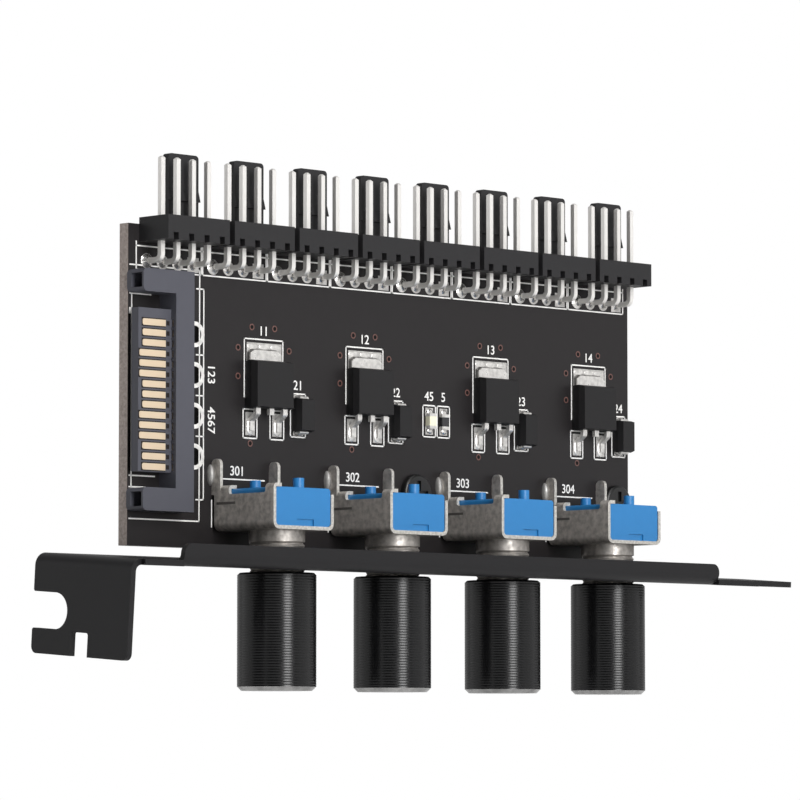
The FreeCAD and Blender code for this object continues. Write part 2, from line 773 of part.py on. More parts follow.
def transistor_body(x, leads):
    z = BOARD_BOTTOM + TRANSISTOR_Z + TRANSISTOR_HEIGHT / 2
    narrow = 2 * TRANSISTOR_DRAFT
    sections = [
        (0, TRANSISTOR_WIDTH - narrow / 2, TRANSISTOR_HEIGHT - narrow / 2),
        (TRANSISTOR_PARTING, TRANSISTOR_WIDTH, TRANSISTOR_HEIGHT),
        (TRANSISTOR_DEPTH, TRANSISTOR_WIDTH - narrow, TRANSISTOR_HEIGHT - narrow),
    ]
    return drafted(x, z, sections).cut(Part.makeCompound(leads))


def diode_terminal(x, end):
    """A strip that leaves the diode's end and folds under it; end is -1 or 1."""
    z = BOARD_BOTTOM + DIODE_Z
    outer = z + end * (DIODE_LENGTH / 2 + TERMINAL_SHEET)
    inner = outer - end * TERMINAL_SHEET
    foot = outer - end * TERMINAL_FOOT
    rise = BOARD_FACE - DIODE_PARTING
    corners = [
        (rise - TERMINAL_SHEET / 2, inner - end * TERMINAL_SHEET),
        (rise - TERMINAL_SHEET / 2, outer, TERMINAL_SHEET),
        (BOARD_FACE, outer, TERMINAL_SHEET),
        (BOARD_FACE, foot),
        (BOARD_FACE - DIODE_STANDOFF, foot),
        (BOARD_FACE - DIODE_STANDOFF, inner),
        (rise + TERMINAL_SHEET / 2, inner),
        (rise + TERMINAL_SHEET / 2, inner - end * TERMINAL_SHEET),
    ]
    return slab_x(corners, x - TERMINAL_WIDTH / 2, x + TERMINAL_WIDTH / 2)


def diode_body(x, terminals):
    z = BOARD_BOTTOM + DIODE_Z
    narrow = 2 * DIODE_DRAFT
    sections = [
        (DIODE_STANDOFF, DIODE_WIDTH - narrow / 2, DIODE_LENGTH - narrow / 2),
        (DIODE_PARTING, DIODE_WIDTH, DIODE_LENGTH),
        (DIODE_DEPTH, DIODE_WIDTH - narrow, DIODE_LENGTH - narrow),
    ]
    return drafted(x, z, sections).cut(Part.makeCompound(terminals))


def chip_body(x, depth):
    z = BOARD_BOTTOM + CHIP_Z
    half = CHIP_LENGTH / 2 - CHIP_CAP
    width = (x - CHIP_WIDTH / 2, x + CHIP_WIDTH / 2)
    return box(width, (BOARD_FACE - depth, BOARD_FACE), (z - half, z + half))


def chip_caps(x, depth):
    z = BOARD_BOTTOM + CHIP_Z
    half = CHIP_LENGTH / 2
    width = (x - CHIP_WIDTH / 2, x + CHIP_WIDTH / 2)
    deep = (BOARD_FACE - depth, BOARD_FACE)
    return [box(width, deep, (z + s * half, z + s * (half - CHIP_CAP))) for s in (-1, 1)]


def board_rivet(x):
    """A push-in rivet: domed head in front, split barb behind."""
    z = BOARD_BOTTOM + RIVET_Z
    back = BOARD_THICK
    shank = RIVET_SHANK_D / 2
    half_slot = RIVET_SLOT / 2
    corners = [
        (0, -RIVET_HEAD_HEIGHT),
        (RIVET_HEAD_D / 2, -RIVET_HEAD_HEIGHT, RIVET_HEAD_HEIGHT / 2),
        (RIVET_HEAD_D / 2, 0),
        (shank, 0),
        (shank, back),
        (shank + RIVET_BARB, back + RIVET_BARB),
        (shank - RIVET_BARB, back + RIVET_BARB_LENGTH),
        (0, back + RIVET_BARB_LENGTH),
    ]
    face = Part.Face(rounded_wire(corners, lambda u, v: V(x + u, BOARD_FACE + v, z)))
    body = face.revolve(V(x, BOARD_FACE, z), V(0, 1, 0), 360)
    reach = RIVET_SLOT_LENGTH / 2
    front = BOARD_FACE - RIVET_HEAD_HEIGHT
    depth = (front - PROUD, front + RIVET_SLOT_DEPTH)
    across = box((x - reach, x + reach), depth, (z - half_slot, z + half_slot))
    upright = box((x - half_slot, x + half_slot), depth, (z - reach, z + reach))
    return body.cut(across).cut(upright)


def shell_wall(pot, side):
    """A side wall with its crimp tabs, its lug up the board and the lug's prong."""
    outer, inner = wall_x(pot, side)
    lug_front = BOARD_FACE - LUG_WIDTH
    front = BOARD_FACE - SHELL_FRONT
    back = BOARD_FACE - SHELL_BACK
    low = POT_BASE + SHELL_CORNER
    top = POT_BASE + WALL_HEIGHT
    lug_top = POT_BASE + LUG_HEIGHT
    prong_low, prong_high = prong_z()
    end = BOARD_FACE + BOARD_THICK + TAIL_LENGTH
    corners = [
        (front, low),
        (back, low),
        (back, top),
        (BOARD_FACE, top),
        (BOARD_FACE, prong_low),
        (end, prong_low),
        (end, prong_high),
        (BOARD_FACE, prong_high),
        (BOARD_FACE, lug_top, LUG_CORNER),
        (lug_front, lug_top, LUG_CORNER),
        (lug_front, top, LUG_CORNER),
        (front, top),
    ]
    pieces = [slab_x(corners, outer, inner)]
    rear_tab = BOARD_FACE - CRIMP_REAR
    pieces.append(crimp_tab(outer, side, rear_tab))
    pieces.append(crimp_foot(outer, inner, rear_tab - CRIMP_WIDTH, -1))
    if side < 0:
        pieces.append(crimp_tab(outer, side, front + CRIMP_WIDTH))
        pieces.append(crimp_foot(outer, inner, front + CRIMP_WIDTH, 1))
    return pieces


def crimp_tab(outer, side, back):
    """A tab at a wall's top, folded in over the moulded body."""
    low = POT_BASE + WALL_HEIGHT
    top = POT_BASE + BODY_TOP + SHELL_SHEET
    inner = outer - side * SHELL_SHEET
    reach = inner - side * CRIMP_REACH
    corners = [
        (outer, low),
        (outer, top, CRIMP_BEND),
        (reach, top),
        (reach, top - SHELL_SHEET),
        (inner, top - SHELL_SHEET),
        (inner, low),
    ]
    return slab_y(corners, back - CRIMP_WIDTH, back)


def crimp_foot(outer, inner, edge, away):
    """The rounded corner between a wall's top and one edge of its crimp tab."""
    low = POT_BASE + WALL_HEIGHT
    high = POT_BASE + BODY_TOP + SHELL_SHEET - CRIMP_BEND
    within = edge - away * CRIMP_FOOT_CORNER
    reach = edge + away * (high - low)
    corners = [
        (within, low - CRIMP_FOOT_CORNER),
        (reach, low - CRIMP_FOOT_CORNER),
        (reach, low),
        (edge, low, CRIMP_FOOT_CORNER),
        (edge, high),
        (within, high),
    ]
    return slab_x(corners, outer, inner)


def pot_shell(pot):
    x = pot_x(pot)
    half = SHELL_WIDTH / 2
    inside = half - SHELL_SHEET
    front = BOARD_FACE - SHELL_FRONT
    back = BOARD_FACE - SHELL_BACK
    rise = POT_BASE + SHELL_CORNER
    floor = POT_BASE + SHELL_SHEET
    trough = [
        (x - half, rise),
        (x - half, POT_BASE, SHELL_CORNER),
        (x + half, POT_BASE, SHELL_CORNER),
        (x + half, rise),
        (x + inside, rise),
        (x + inside, floor, SHELL_CORNER - SHELL_SHEET),
        (x - inside, floor, SHELL_CORNER - SHELL_SHEET),
        (x - inside, rise),
    ]
    pieces = [slab_y(trough, front, back)]
    for side in (-1, 1):
        pieces += shell_wall(pot, side)
    low = V(x, AXIS_Y, POT_BASE - PROUD)
    return joined(pieces).cut(rod(BUSHING_D, low, low + V(0, 0, 2 * PROUD)))


def pot_terminals(pot):
    half = STRIP_WIDTH / 2
    depth = (AXIS_Y + TRACK_REAR, BOARD_FACE + BOARD_THICK + TAIL_LENGTH)
    strips = []
    for terminal in range(3):
        x = pot_terminal_x(pot, terminal)
        strips.append(box((x - half, x + half), depth, strip_z()))
    return strips


def pot_track(pot):
    x = pot_x(pot)
    low = V(x, AXIS_Y, POT_BASE + TRACK_UNDER)
    disc = rod(TRACK_D, low, low + V(0, 0, TRACK_THICK))
    hole_d = SHAFT_NECK_D + 2 * TRACK_HOLE_PLAY
    hole = rod(hole_d, low - V(0, 0, PROUD), low + V(0, 0, TRACK_THICK + PROUD))
    rear = AXIS_Y + TRACK_REAR
    cut = box((x - TRACK_D, x + TRACK_D), (rear, rear + TRACK_D), (low.z - PROUD, low.z + PROUD))
    return disc.cut(hole).cut(cut)


def pot_body(pot, strips):
    """The moulded body: hollow from below, two pegs on top, slots for the terminals."""
    x = pot_x(pot)
    half = BODY_WIDTH / 2
    front = BOARD_FACE - SHELL_FRONT + BODY_RECESS
    low = POT_BASE + SHELL_SHEET
    top = POT_BASE + BODY_TOP
    under = SHELL_CORNER - SHELL_SHEET + BODY_PLAY
    corners = [
        (x - half, low, under),
        (x + half, low, under),
        (x + half, top, BODY_CORNER),
        (x - half, top, BODY_CORNER),
    ]
    body = slab_y(corners, front, BOARD_FACE - BODY_BACK)
    centre = V(x, AXIS_Y, low - PROUD)
    cavity = rod(CAVITY_D, centre, V(x, AXIS_Y, POT_BASE + ROOF_UNDER))
    gate = (x + GATE_START, x + GATE_END)
    gate_mark = box(gate, (front - PROUD, front + GATE_DEPTH), (low - PROUD, POT_BASE + GATE_TOP))
    body = body.cut(cavity).cut(gate_mark).cut(Part.makeCompound(strips))
    pegs = []
    for depth in (PEG_BACK, SHELL_FRONT - PEG_FROM_FRONT):
        foot = V(x, BOARD_FACE - depth, top - BODY_ROOF / 2)
        pegs.append(rod(PEG_D, foot, V(foot.x, foot.y, top + PEG_HEIGHT)))
    return joined([body] + pegs)


def pot_bushing(pot):
    """The threaded neck, with a head inside the shell that stakes it to the floor."""
    bore = SHAFT_D / 2 + SHAFT_PLAY
    floor = POT_BASE + SHELL_SHEET
    corners = [
        (bore, BUSHING_END),
        (BUSHING_D / 2, BUSHING_END, BUSHING_CHAMFER),
        (BUSHING_D / 2, floor),
        (BUSHING_HEAD_D / 2, floor),
        (BUSHING_HEAD_D / 2, floor + BUSHING_HEAD),
        (bore, floor + BUSHING_HEAD),
    ]
    return turned(corners, pot_x(pot), AXIS_Y)


def flat_cutter(pot, radius, low, high):
    """The block that takes the flat off a shaft, or fills it in a knob's bore."""
    x = pot_x(pot)
    flat = AXIS_Y - SHAFT_D / 2 + SHAFT_FLAT
    return box((x - radius, x + radius), (AXIS_Y - radius, flat), (low, high))


def pot_shaft(pot):
    collar = SHAFT_D / 2 + SHAFT_COLLAR_REACH
    neck_top = POT_BASE + ROTOR_TOP + FINGER_THICK
    corners = [
        (0, SHAFT_END),
        (SHAFT_D / 2, SHAFT_END, BUSHING_CHAMFER),
        (SHAFT_D / 2, POT_BASE + COLLAR_UNDER),
        (collar, POT_BASE + COLLAR_UNDER),
        (collar, POT_BASE + COLLAR_TOP),
        (SHAFT_NECK_D / 2, POT_BASE + COLLAR_TOP),
        (SHAFT_NECK_D / 2, neck_top),
        (0, neck_top),
    ]
    shaft = turned(corners, pot_x(pot), AXIS_Y)
    return shaft.cut(flat_cutter(pot, SHAFT_D / 2 + PROUD, SHAFT_END - PROUD, FLAT_TOP))


def pot_wiper(pot):
    """The rotor on the shaft's neck, with two spring fingers up to the track."""
    x = pot_x(pot)
    bore = SHAFT_NECK_D / 2 + ROTOR_FIT
    low = POT_BASE + COLLAR_TOP
    top = POT_BASE + ROTOR_TOP
    rotor = turned([(bore, low), (ROTOR_D / 2, low), (ROTOR_D / 2, top), (bore, top)], x, AXIS_Y)
    tip = POT_BASE + TRACK_UNDER - FINGER_GAP
    reach = TRACK_D / 2 - FINGER_INSET
    pieces = [rotor]
    for side in (-1, 1):
        inner = AXIS_Y - side * (bore + FINGER_THICK)
        outer = AXIS_Y - side * reach
        profile = [
            (inner, top - FINGER_THICK),
            (inner, top + FINGER_THICK),
            (outer + side * FINGER_THICK, tip),
            (outer, tip),
            (outer, tip - FINGER_THICK),
            (inner - side * 2 * FINGER_THICK, top - FINGER_THICK),
        ]
        pieces.append(slab_x(profile, x - FINGER_WIDTH / 2, x + FINGER_WIDTH / 2))
    return joined(pieces)


def knob(pot):
    """A turned knob: counterbored over the bushing, with a flatted blind bore."""
    x = pot_x(pot)
    radius = KNOB_D / 2
    mouth = BUSHING_D / 2 + KNOB_MOUTH_PLAY
    bore = SHAFT_D / 2 + KNOB_BORE_FIT
    corners = [
        (0, KNOB_END),
        (radius - KNOB_CHAMFER, KNOB_END),
        (radius, KNOB_END + KNOB_CHAMFER),
        (radius, KNOB_TOP - KNOB_MOUTH_CHAMFER),
        (radius - KNOB_MOUTH_CHAMFER, KNOB_TOP),
        (mouth, KNOB_TOP),
        (mouth, KNOB_SHELF),
        (bore, KNOB_SHELF),
        (bore, BORE_BOTTOM),
        (0, BORE_BOTTOM),
    ]
    body = turned(corners, x, AXIS_Y)
    key_root = V(x, AXIS_Y, BORE_BOTTOM - KNOB_END_WALL / 2)
    key_end = V(x, AXIS_Y, FLAT_TOP - KNOB_BORE_FIT)
    key = rod(2 * (bore + KNOB_KEY_ROOT), key_root, key_end)
    filler = flat_cutter(pot, bore + KNOB_KEY_ROOT, key_root.z, key_end.z)
    filler.translate(V(0, -KNOB_BORE_FIT, 0))
    return joined([body, key.common(filler)])


def build():
    os.makedirs("parts", exist_ok=True)
    save("bracket", bracket())
    save("board", board())
    for header in range(HEADER_COUNT):
        save("fan_header_" + str(header + 1), fan_header(header))
    save("fan_header_pins", fan_pins())
    contacts = plug_contacts()
    save("power_plug_contacts", contacts)
    save("power_plug_housing", power_plug(contacts))
    diode_terminals = []
    pot_strips = []
    for pot in range(POT_COUNT):
        name = "_" + str(pot + 1)
        x = pot_x(pot) + TRANSISTOR_FROM_POT[pot]
        leads = transistor_leads(x)
        save("transistor_leads" + name, leads)
        save("transistor_body" + name, transistor_body(x, leads))
        x = pot_x(pot) + DIODE_FROM_POT[pot]
        pair = [diode_terminal(x, end) for end in (-1, 1)]
        save("diode" + name, diode_body(x, pair))
        diode_terminals += pair
        strips = pot_terminals(pot)
        save("pot_shell" + name, pot_shell(pot))
        save("pot_body" + name, pot_body(pot, strips))
        save("pot_bushing" + name, pot_bushing(pot))
        save("pot_shaft" + name, pot_shaft(pot))
        save("pot_wiper" + name, pot_wiper(pot))
        save("knob" + name, knob(pot))
        pot_strips += strips
    save("diode_terminals", diode_terminals)
    save("pot_terminals", pot_strips)
    save("pot_tracks", [pot_track(pot) for pot in range(POT_COUNT)])
    lamp_x = pot_x(CHIP_POT) + LAMP_FROM_POT
    resistor_x = pot_x(CHIP_POT) + RESISTOR_FROM_POT
    save("lamp", chip_body(lamp_x, LAMP_DEPTH))
    save("resistor", chip_body(resistor_x, RESISTOR_DEPTH))
    save("chip_caps", chip_caps(lamp_x, LAMP_DEPTH) + chip_caps(resistor_x, RESISTOR_DEPTH))
    for number, (pot, from_pot) in enumerate(zip(RIVET_POTS, RIVET_FROM_POT), 1):
        save("board_rivet_" + str(number), board_rivet(pot_x(pot) + from_pot))


build()
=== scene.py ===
import json
import math
from typing import NamedTuple

import bmesh
import bpy
from bpy.props import FloatProperty, FloatVectorProperty, PointerProperty
from bpy.types import Operator, Panel, PropertyGroup
from mathutils import Matrix, Vector


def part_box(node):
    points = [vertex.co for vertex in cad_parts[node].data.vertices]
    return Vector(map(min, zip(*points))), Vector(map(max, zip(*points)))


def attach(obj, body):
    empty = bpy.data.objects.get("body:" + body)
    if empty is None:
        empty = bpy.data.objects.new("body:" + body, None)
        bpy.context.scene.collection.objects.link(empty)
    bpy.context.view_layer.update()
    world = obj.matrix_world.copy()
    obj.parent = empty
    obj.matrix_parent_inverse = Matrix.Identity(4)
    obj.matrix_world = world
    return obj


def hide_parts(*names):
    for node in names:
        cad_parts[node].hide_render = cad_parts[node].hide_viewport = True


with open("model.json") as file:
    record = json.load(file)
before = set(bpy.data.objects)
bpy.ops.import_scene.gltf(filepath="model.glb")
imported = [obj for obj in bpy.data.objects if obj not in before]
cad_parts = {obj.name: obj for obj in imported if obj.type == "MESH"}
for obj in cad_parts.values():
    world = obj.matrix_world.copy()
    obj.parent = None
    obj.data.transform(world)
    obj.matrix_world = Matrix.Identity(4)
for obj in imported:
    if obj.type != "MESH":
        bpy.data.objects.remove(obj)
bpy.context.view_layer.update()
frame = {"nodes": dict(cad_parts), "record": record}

bl_info = {
    "name": "Fan controller card looks",
    "version": (1, 0, 0),
    "blender": (4, 5, 0),
    "location": "View3D > Sidebar > Card",
    "description": "Dresses an expansion-slot card with print, pads, solder, threads and finishes",
    "category": "Object",
}

MM = 0.001


def mm(*lengths):
    """Lengths in metres, from millimetres."""
    return tuple(length * MM for length in lengths)


# The board's corner at its left end, lower edge and component face, and its far corner
BOARD_LOW = Vector(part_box("board")[0])
BOARD_HIGH = Vector(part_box("board")[1])

# Print, pads and solder start a little under the surface that carries them
BURY = 0.02 * MM

# Steps round an oval, rows up a dome by their angles in degrees, and steps up a cone
ROUND_STEPS = 24
DOME_ANGLES = range(0, 81, 16)
CONE_STEPS = 5

# Numbers: font size for a height of one, part of a line that thickens the strokes, and rise above the print
FONT_SIZE_FOR_HEIGHT = 1.4
STROKE_PART = 12
NUMBER_RISE = 0.85

# Print round each fan header, from the header's own underside and ends
PINS_IN_HEADER = 4
PIN_SPACING = 2.54 * MM
PADS_BELOW_HEADER = 2.3 * MM
PAD_BORE = 1 / 3
HEADER_PRINT_LOW = 3.45 * MM
HEADER_PRINT_HIGH = 0.5 * MM
HEADER_PRINT_LEFT = 0.48 * MM
HEADER_PRINT_RIGHT = 0.11 * MM

# Print round the power plug, from the board's corner
PLUG_PRINT_RIGHT = 11.8 * MM
PLUG_PRINT_OUTER = 12.5 * MM
PLUG_PRINT_TOP = 34.6 * MM
PLUG_PRINT_UPPER_BAR = 32.3 * MM
PLUG_PRINT_LOWER_BAR = 6.0 * MM
PLUG_PRINT_BOTTOM = 3.3 * MM
PLUG_PRINT_START = 0.3 * MM
PLUG_BAR_START = 11.3 * MM

# Spare plug holes and their ring pads, from the board's corner
SPARE_HOLE_X = 11.0 * MM
SPARE_HOLE_LOWEST = 11.35 * MM
SPARE_HOLE_STEP = 5.08 * MM
SPARE_HOLES = 4
SPARE_HOLE_RADIUS = 1.1 * MM
RING_PAD_RADIUS = 1.62 * MM
PLUG_NUMBER_X = 13.75 * MM
PLUG_NUMBERS = (("123", 21.75 * MM), ("4567", 16.0 * MM))
PLUG_EDGE_LINE = 0.6 * MM
PLUG_EDGE_LINE_ENDS = mm(4.4, 33.6)
PLUG_STUB_LINES = (mm(31.05, 3.7), mm(8.6, 4.4), mm(7.2, 2.9))
PLUG_EDGE_MARK = mm(28.5, 29.3)

# Print, pads and vias at each transistor, from the middle of its body's top edge
TRANSISTOR_PRINT_HALF = 3.3 * MM
TRANSISTOR_PRINT_RISE = 2.75 * MM
TRANSISTOR_PRINT_LEFT_DROP = 4.6 * MM
TRANSISTOR_PRINT_RIGHT_DROP = 0.3 * MM
HEAT_PAD_LEFT = 2.9 * MM
HEAT_PAD_RIGHT = 3.05 * MM
HEAT_PAD_RISE = 2.3 * MM
HEAT_PAD_BLOBS = mm(-1.95, 0.1, 2.1)
TAB_HALF = 2.65 * MM
TAB_REACH = 1.35 * MM
TAB_CORNER = 0.7 * MM
TAB_CORNER_RISE = 0.45 * MM
LEG_SPREAD = 2.3 * MM
LEG_PRINT_WIDTH = 2.35 * MM
LEG_PRINT_TOP = 6.15 * MM
LEG_PRINT_BOTTOM = 9.8 * MM
LEG_PAD_MARGIN = 0.38 * MM
LEG_TOE_DROP = 8.4 * MM
VIA_PLACES = ((-2.0, 4.25), (1.9, 4.25), (-4.35, 1.55), (4.4, 1.55), (-4.35, -2.05), (-2.25, -10.45))
VIA_RADIUS = 0.42 * MM
VIA_HOLE_RADIUS = 0.27 * MM
# The disc of painted shade over a via's hole is this much wider than the hole
VIA_HOLE_SHADE_OVERLAP = 1.1


class SmallPart(NamedTuple):
    """Print, pads and solder at a small part: half widths, and reaches up and down from its middle.

    The number stands number_rise times its own height above the outline.
    """

    print_half: float
    print_reach: float
    number_rise: float
    pad_half: float
    pad_start: float
    pad_end: float
    blob_reach: float
    blob: tuple


DIODE = SmallPart(
    print_half=1.3 * MM,
    print_reach=2.75 * MM,
    number_rise=NUMBER_RISE,
    pad_half=0.85 * MM,
    pad_start=1.4 * MM,
    pad_end=2.56 * MM,
    blob_reach=2.2 * MM,
    blob=mm(0.8, 0.45, 0.4),
)
CHIP = SmallPart(
    print_half=1.14 * MM,
    print_reach=2.05 * MM,
    number_rise=0.95,
    pad_half=0.7 * MM,
    pad_start=0.7 * MM,
    pad_end=1.75 * MM,
    blob_reach=1.2 * MM,
    blob=mm(0.62, 0.5, 0.35),
)

# Print at each potentiometer, from its middle
POT_LINE_LEFT = 3.34 * MM
POT_LINE_RIGHT = 3.8 * MM
POT_LINE_ABOVE_BOARD = 8.77 * MM
POT_SIDE_LINE = 5.1 * MM
POT_SIDE_LOW = 2.7 * MM
POT_SIDE_HIGH = 6.0 * MM
POT_NUMBER_SHIFT = -0.8 * MM
POT_NUMBER_ABOVE_LINE = 1.0 * MM

# Solder behind the board and beside the potentiometers' lugs
LUG_DROP = 2.0 * MM
LUG_INSET = 0.22 * MM
LUG_BLOB_SHIFT = 0.22 * MM
STRIP_SPACING = 2.5 * MM
TAIL_HEIGHT = 0.8 * MM

# Solder blobs: half sizes across and up the board, and height off it
HEAT_PAD_BLOB = mm(0.97, 0.46, 0.14)
HEAT_PAD_BLOB_DROP = 0.48 * MM
TOE_BLOB = mm(0.68, 1.1, 0.26)
LUG_BLOB = mm(0.55, 1.35)
LUG_BACK_BLOB = mm(0.9, 1.2, 0.6)

# Solder cones: shares of a pad's radius in front, and radii at the board and at the pin
FIRST_PIN_CONE = 1.05
PIN_CONE = 0.8
CONE_TIP = 0.42 * MM
HEADER_BACK_CONE = (0.9 * MM, CONE_TIP)
PLUG_BACK_CONE = mm(0.62, 0.32)
STRIP_BACK_CONE = mm(0.95, 0.5)

# Fillet round a heat tab, darkened with painted shade along the tab's edge: growth beyond the tab, and height
# off the board
FILLET_TOP = 0.32 * MM
TAB_FILLET = ((0.26 * MM, -BURY), mm(0.16, 0.1), (0.07 * MM, FILLET_TOP), (-0.4 * MM, FILLET_TOP))

# The power plug's contacts, the painted shade round them and at their roots, and their tails
CONTACTS = 15
CONTACT_HEIGHT = 0.8 * MM
CONTACT_PROUD = 0.06 * MM
CONTACT_SET_BACK = 0.5 * MM
LONG_CONTACTS = (3, 4, 5, 9, 10, 11)
# Width of the painted shade that shows round each contact
CHANNEL_SHADE_BORDER = 0.13 * MM
CONTACT_ROOT = mm(4.28, 5.36)
# Span and height of the block of painted shade at each contact's root
CONTACT_POCKET_SHADE = mm(4.34, 4.86)
POCKET_SHADE_HEIGHT = 0.55 * MM
CONTACT_TAIL_INSET = 0.25 * MM
CONTACT_ROW_STEP = 1.3 * MM

# Painted shade of the pressed slit in the left wall of each potentiometer's shell, from the board's face and
# lower edge
SLIT_FROM_BOARD = mm(0.95, 4.4)
SLIT_ABOVE_BOARD = mm(5.4, 5.72)

# Potentiometer bushings
BUSHING_RADIUS = 3.5 * MM
BUSHING_BORE = 3.05 * MM
BUSHING_CHAMFER = 0.3 * MM
BUSHING_HEAD = 0.3 * MM
SHELL_SHEET = 0.45 * MM
BUSHING_PLAIN = 1.5 * MM
BUSHING_STEPS = 64
ROWS_PER_THREAD = 8

# Edges sharper than this many degrees stay sharp
SOLDER_SMOOTH = 40
THREAD_SMOOTH = 35
RING_SMOOTH = 8

# Knobs
KNOB_CHAMFER = 0.5 * MM
KNOB_MOUTH_CHAMFER = 0.25 * MM
KNOB_STEPS = 96

# Camera at the photograph's place, from the board's corner: degrees and metres, with millimetres for the lens
CAMERA_AZIMUTH = -44.294
CAMERA_ELEVATION = -4.185
CAMERA_TARGET = Vector((46.71, 0.0, 20.21)) * MM
CAMERA_DISTANCE = 609.083 * MM
CAMERA_LENS = 211.4
SENSOR_WIDTH = 36.0
CLIP_START = 10 * MM

# Floor and walls of the studio
FLOOR_BELOW_EYE = 16 * MM
FLOOR_REACH = 0.5
FLOOR_THICKNESS = 10 * MM
FLOOR_ROUGHNESS = 0.8

# The room's light by the cosine between a direction and the camera's: least at the near side, most behind
WALLS = {"From Min": -0.3, "From Max": 1, "To Min": 0.035, "To Max": 0.45}

# Softboxes: azimuth from the camera's, elevation, distance, width and height, and power in watts
SOFTBOXES = {
    "key": (32, 16, 0.9, (0.29, 0.8), 9.6),
    "fill": (-32, 10, 0.9, (0.12, 0.7), 0.25),
    "left": (-95, 5, 0.9, (0.8, 0.8), 1.3),
    "right": (88, 5, 0.9, (0.9, 0.9), 1.8),
    "top": (20, 75, 1.0, (0.9, 0.9), 4),
}

# Kinds of node group socket
COLOUR_SOCKET = "NodeSocketColor"
NUMBER_SOCKET = "NodeSocketFloat"

# Grain shared by all finishes, and the cosine under which a face counts as a sheet's cut edge
GRAIN_DETAIL = 5
BUMP_STRENGTH = 0.35
EDGE_COSINE = 0.35


class Finish(NamedTuple):
    """A material's gloss and grain.

    Flecks have the base colour times tone, or the colour in fleck. The roughness varies by spread. The grain
    gets finer with scale and harder with contrast, and stands bump millimetres high. A level below 1 darkens
    the whole.
    """

    roughness: float
    spread: float
    scale: float
    amount: float
    tone: float = 1.0
    fleck: tuple = ()
    contrast: float = 1.0
    bump: float = 0.0
    metallic: float = 0.0
    gloss: float = 0.5
    level: float = 1.0


# Each finish starts with its roughness, spread, scale and amount
TIN = Finish(0.35, 0.2, 1500, 0.8, tone=0.55, contrast=2.5, bump=0.01, metallic=0.7)
FINISHES = {
    "powder_coat": Finish(0.45, 0.1, 4500, 0.5, tone=1.5, bump=0.015, gloss=0.28),
    "solder_mask": Finish(0.42, 0.12, 700, 0.6, tone=1.35, bump=0.004, gloss=0.28),
    "header_plastic": Finish(0.5, 0.1, 1500, 0.5, tone=1.4, bump=0.01, gloss=0.3),
    "plug_plastic": Finish(0.5, 0.1, 1200, 0.5, tone=1.25, bump=0.01, gloss=0.35),
    "contact_gold": Finish(0.35, 0.1, 600, 0.5, tone=0.85, metallic=0.45),
    "pin_metal": Finish(0.35, 0.1, 800, 0.4, tone=0.8, metallic=0.6),
    "lead_tin": TIN,
    "pad_tin": TIN._replace(roughness=0.4, metallic=0.6, level=0.75),
    "ring_pad_tin": TIN._replace(roughness=0.4, metallic=0.3),
    "solder": TIN._replace(roughness=0.25, metallic=0.9),
    "dull_solder": TIN._replace(roughness=0.5, metallic=0.6, level=0.45),
    "pad_solder": TIN._replace(roughness=0.38),
    # The fillet's dark tone is painted shade along the heat tab's edge
    "fillet_solder_painted_shade": TIN._replace(metallic=0.9, level=0.3),
    "package_resin": Finish(0.55, 0.1, 2500, 0.5, tone=1.5, bump=0.01, gloss=0.25),
    "rivet_plastic": Finish(0.32, 0.1, 1200, 0.5, tone=2.0),
    "lamp_lens": Finish(0.2, 0.05, 900, 0.5, fleck=(0.9, 0.88, 0.75)),
    "chip_glaze": Finish(0.25, 0.1, 2500, 0.5, fleck=(0.035, 0.035, 0.038)),
    "shell_steel": Finish(0.5, 0.3, 1300, 1.0, tone=0.55, contrast=3.5, bump=0.02, metallic=0.5),
    "cut_edge": Finish(0.5, 0.1, 3000, 0.8, tone=0.55, contrast=3),
    "pot_blue": Finish(0.42, 0.1, 900, 0.4, tone=0.8, bump=0.01),
    "rotor_plastic": Finish(0.45, 0.1, 900, 0.5, fleck=(0.7, 0.66, 0.58)),
    "track_board": Finish(0.6, 0.15, 1500, 0.7, fleck=(0.03, 0.025, 0.02)),
    "shaft_metal": Finish(0.28, 0.15, 1500, 0.6, tone=0.75, metallic=1.0),
    "bushing_metal": Finish(0.5, 0.2, 1300, 0.8, tone=0.5, contrast=3, bump=0.02, metallic=0.85),
    "knob_side": Finish(0.24, 0.1, 1800, 0.5, tone=1.8, gloss=0.34),
    "knob_black_and_bare_end": Finish(0.24, 0.1, 1800, 0.5, tone=1.8),
    "bare_end": Finish(0.5, 0.1, 700, 0.8, tone=0.5, contrast=3, level=0.65),
    "board_print_ink": Finish(0.55, 0.15, 2500, 0.6, tone=0.8),
    "via_copper": Finish(0.45, 0.2, 3000, 0.6, tone=0.6),
    "hole_shadow": Finish(0.8, 0.1, 1500, 0.6, tone=2.0, gloss=0.2),
    "channel_shadow": Finish(0.7, 0.1, 1500, 0.5, fleck=(0.02, 0.016, 0.014), gloss=0.2),
    "slit_shadow": Finish(0.7, 0.1, 1500, 0.6, tone=0.6, metallic=0.4, level=0.22),
}


def numbered(prefix):
    """The nodes named prefix_1, prefix_2 and so on, in order."""
    found = []
    while f"{prefix}_{len(found) + 1}" in frame["nodes"]:
        found.append(f"{prefix}_{len(found) + 1}")
    return found


def middle(node):
    low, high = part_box(node)
    return (Vector(low) + Vector(high)) / 2


def body_of_node(node):
    """The body that a node moves with."""
    for body, nodes in frame["record"]["behaviour"]["bodies"].items():
        if node in nodes:
            return body
    raise RuntimeError(f"{node} is on no body")


def transistors():
    """The middle and the top edge of each transistor's body, across and up the board."""
    return [(middle(body).x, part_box(body)[1][2]) for body in numbered("transistor_body")]


def small_parts():
    """Each small part, with its kind and the number printed at it."""
    diodes = [(node, DIODE, f"2{number}") for number, node in enumerate(numbered("diode"), 1)]
    return [*diodes, ("lamp", CHIP, "45"), ("resistor", CHIP, "5")]


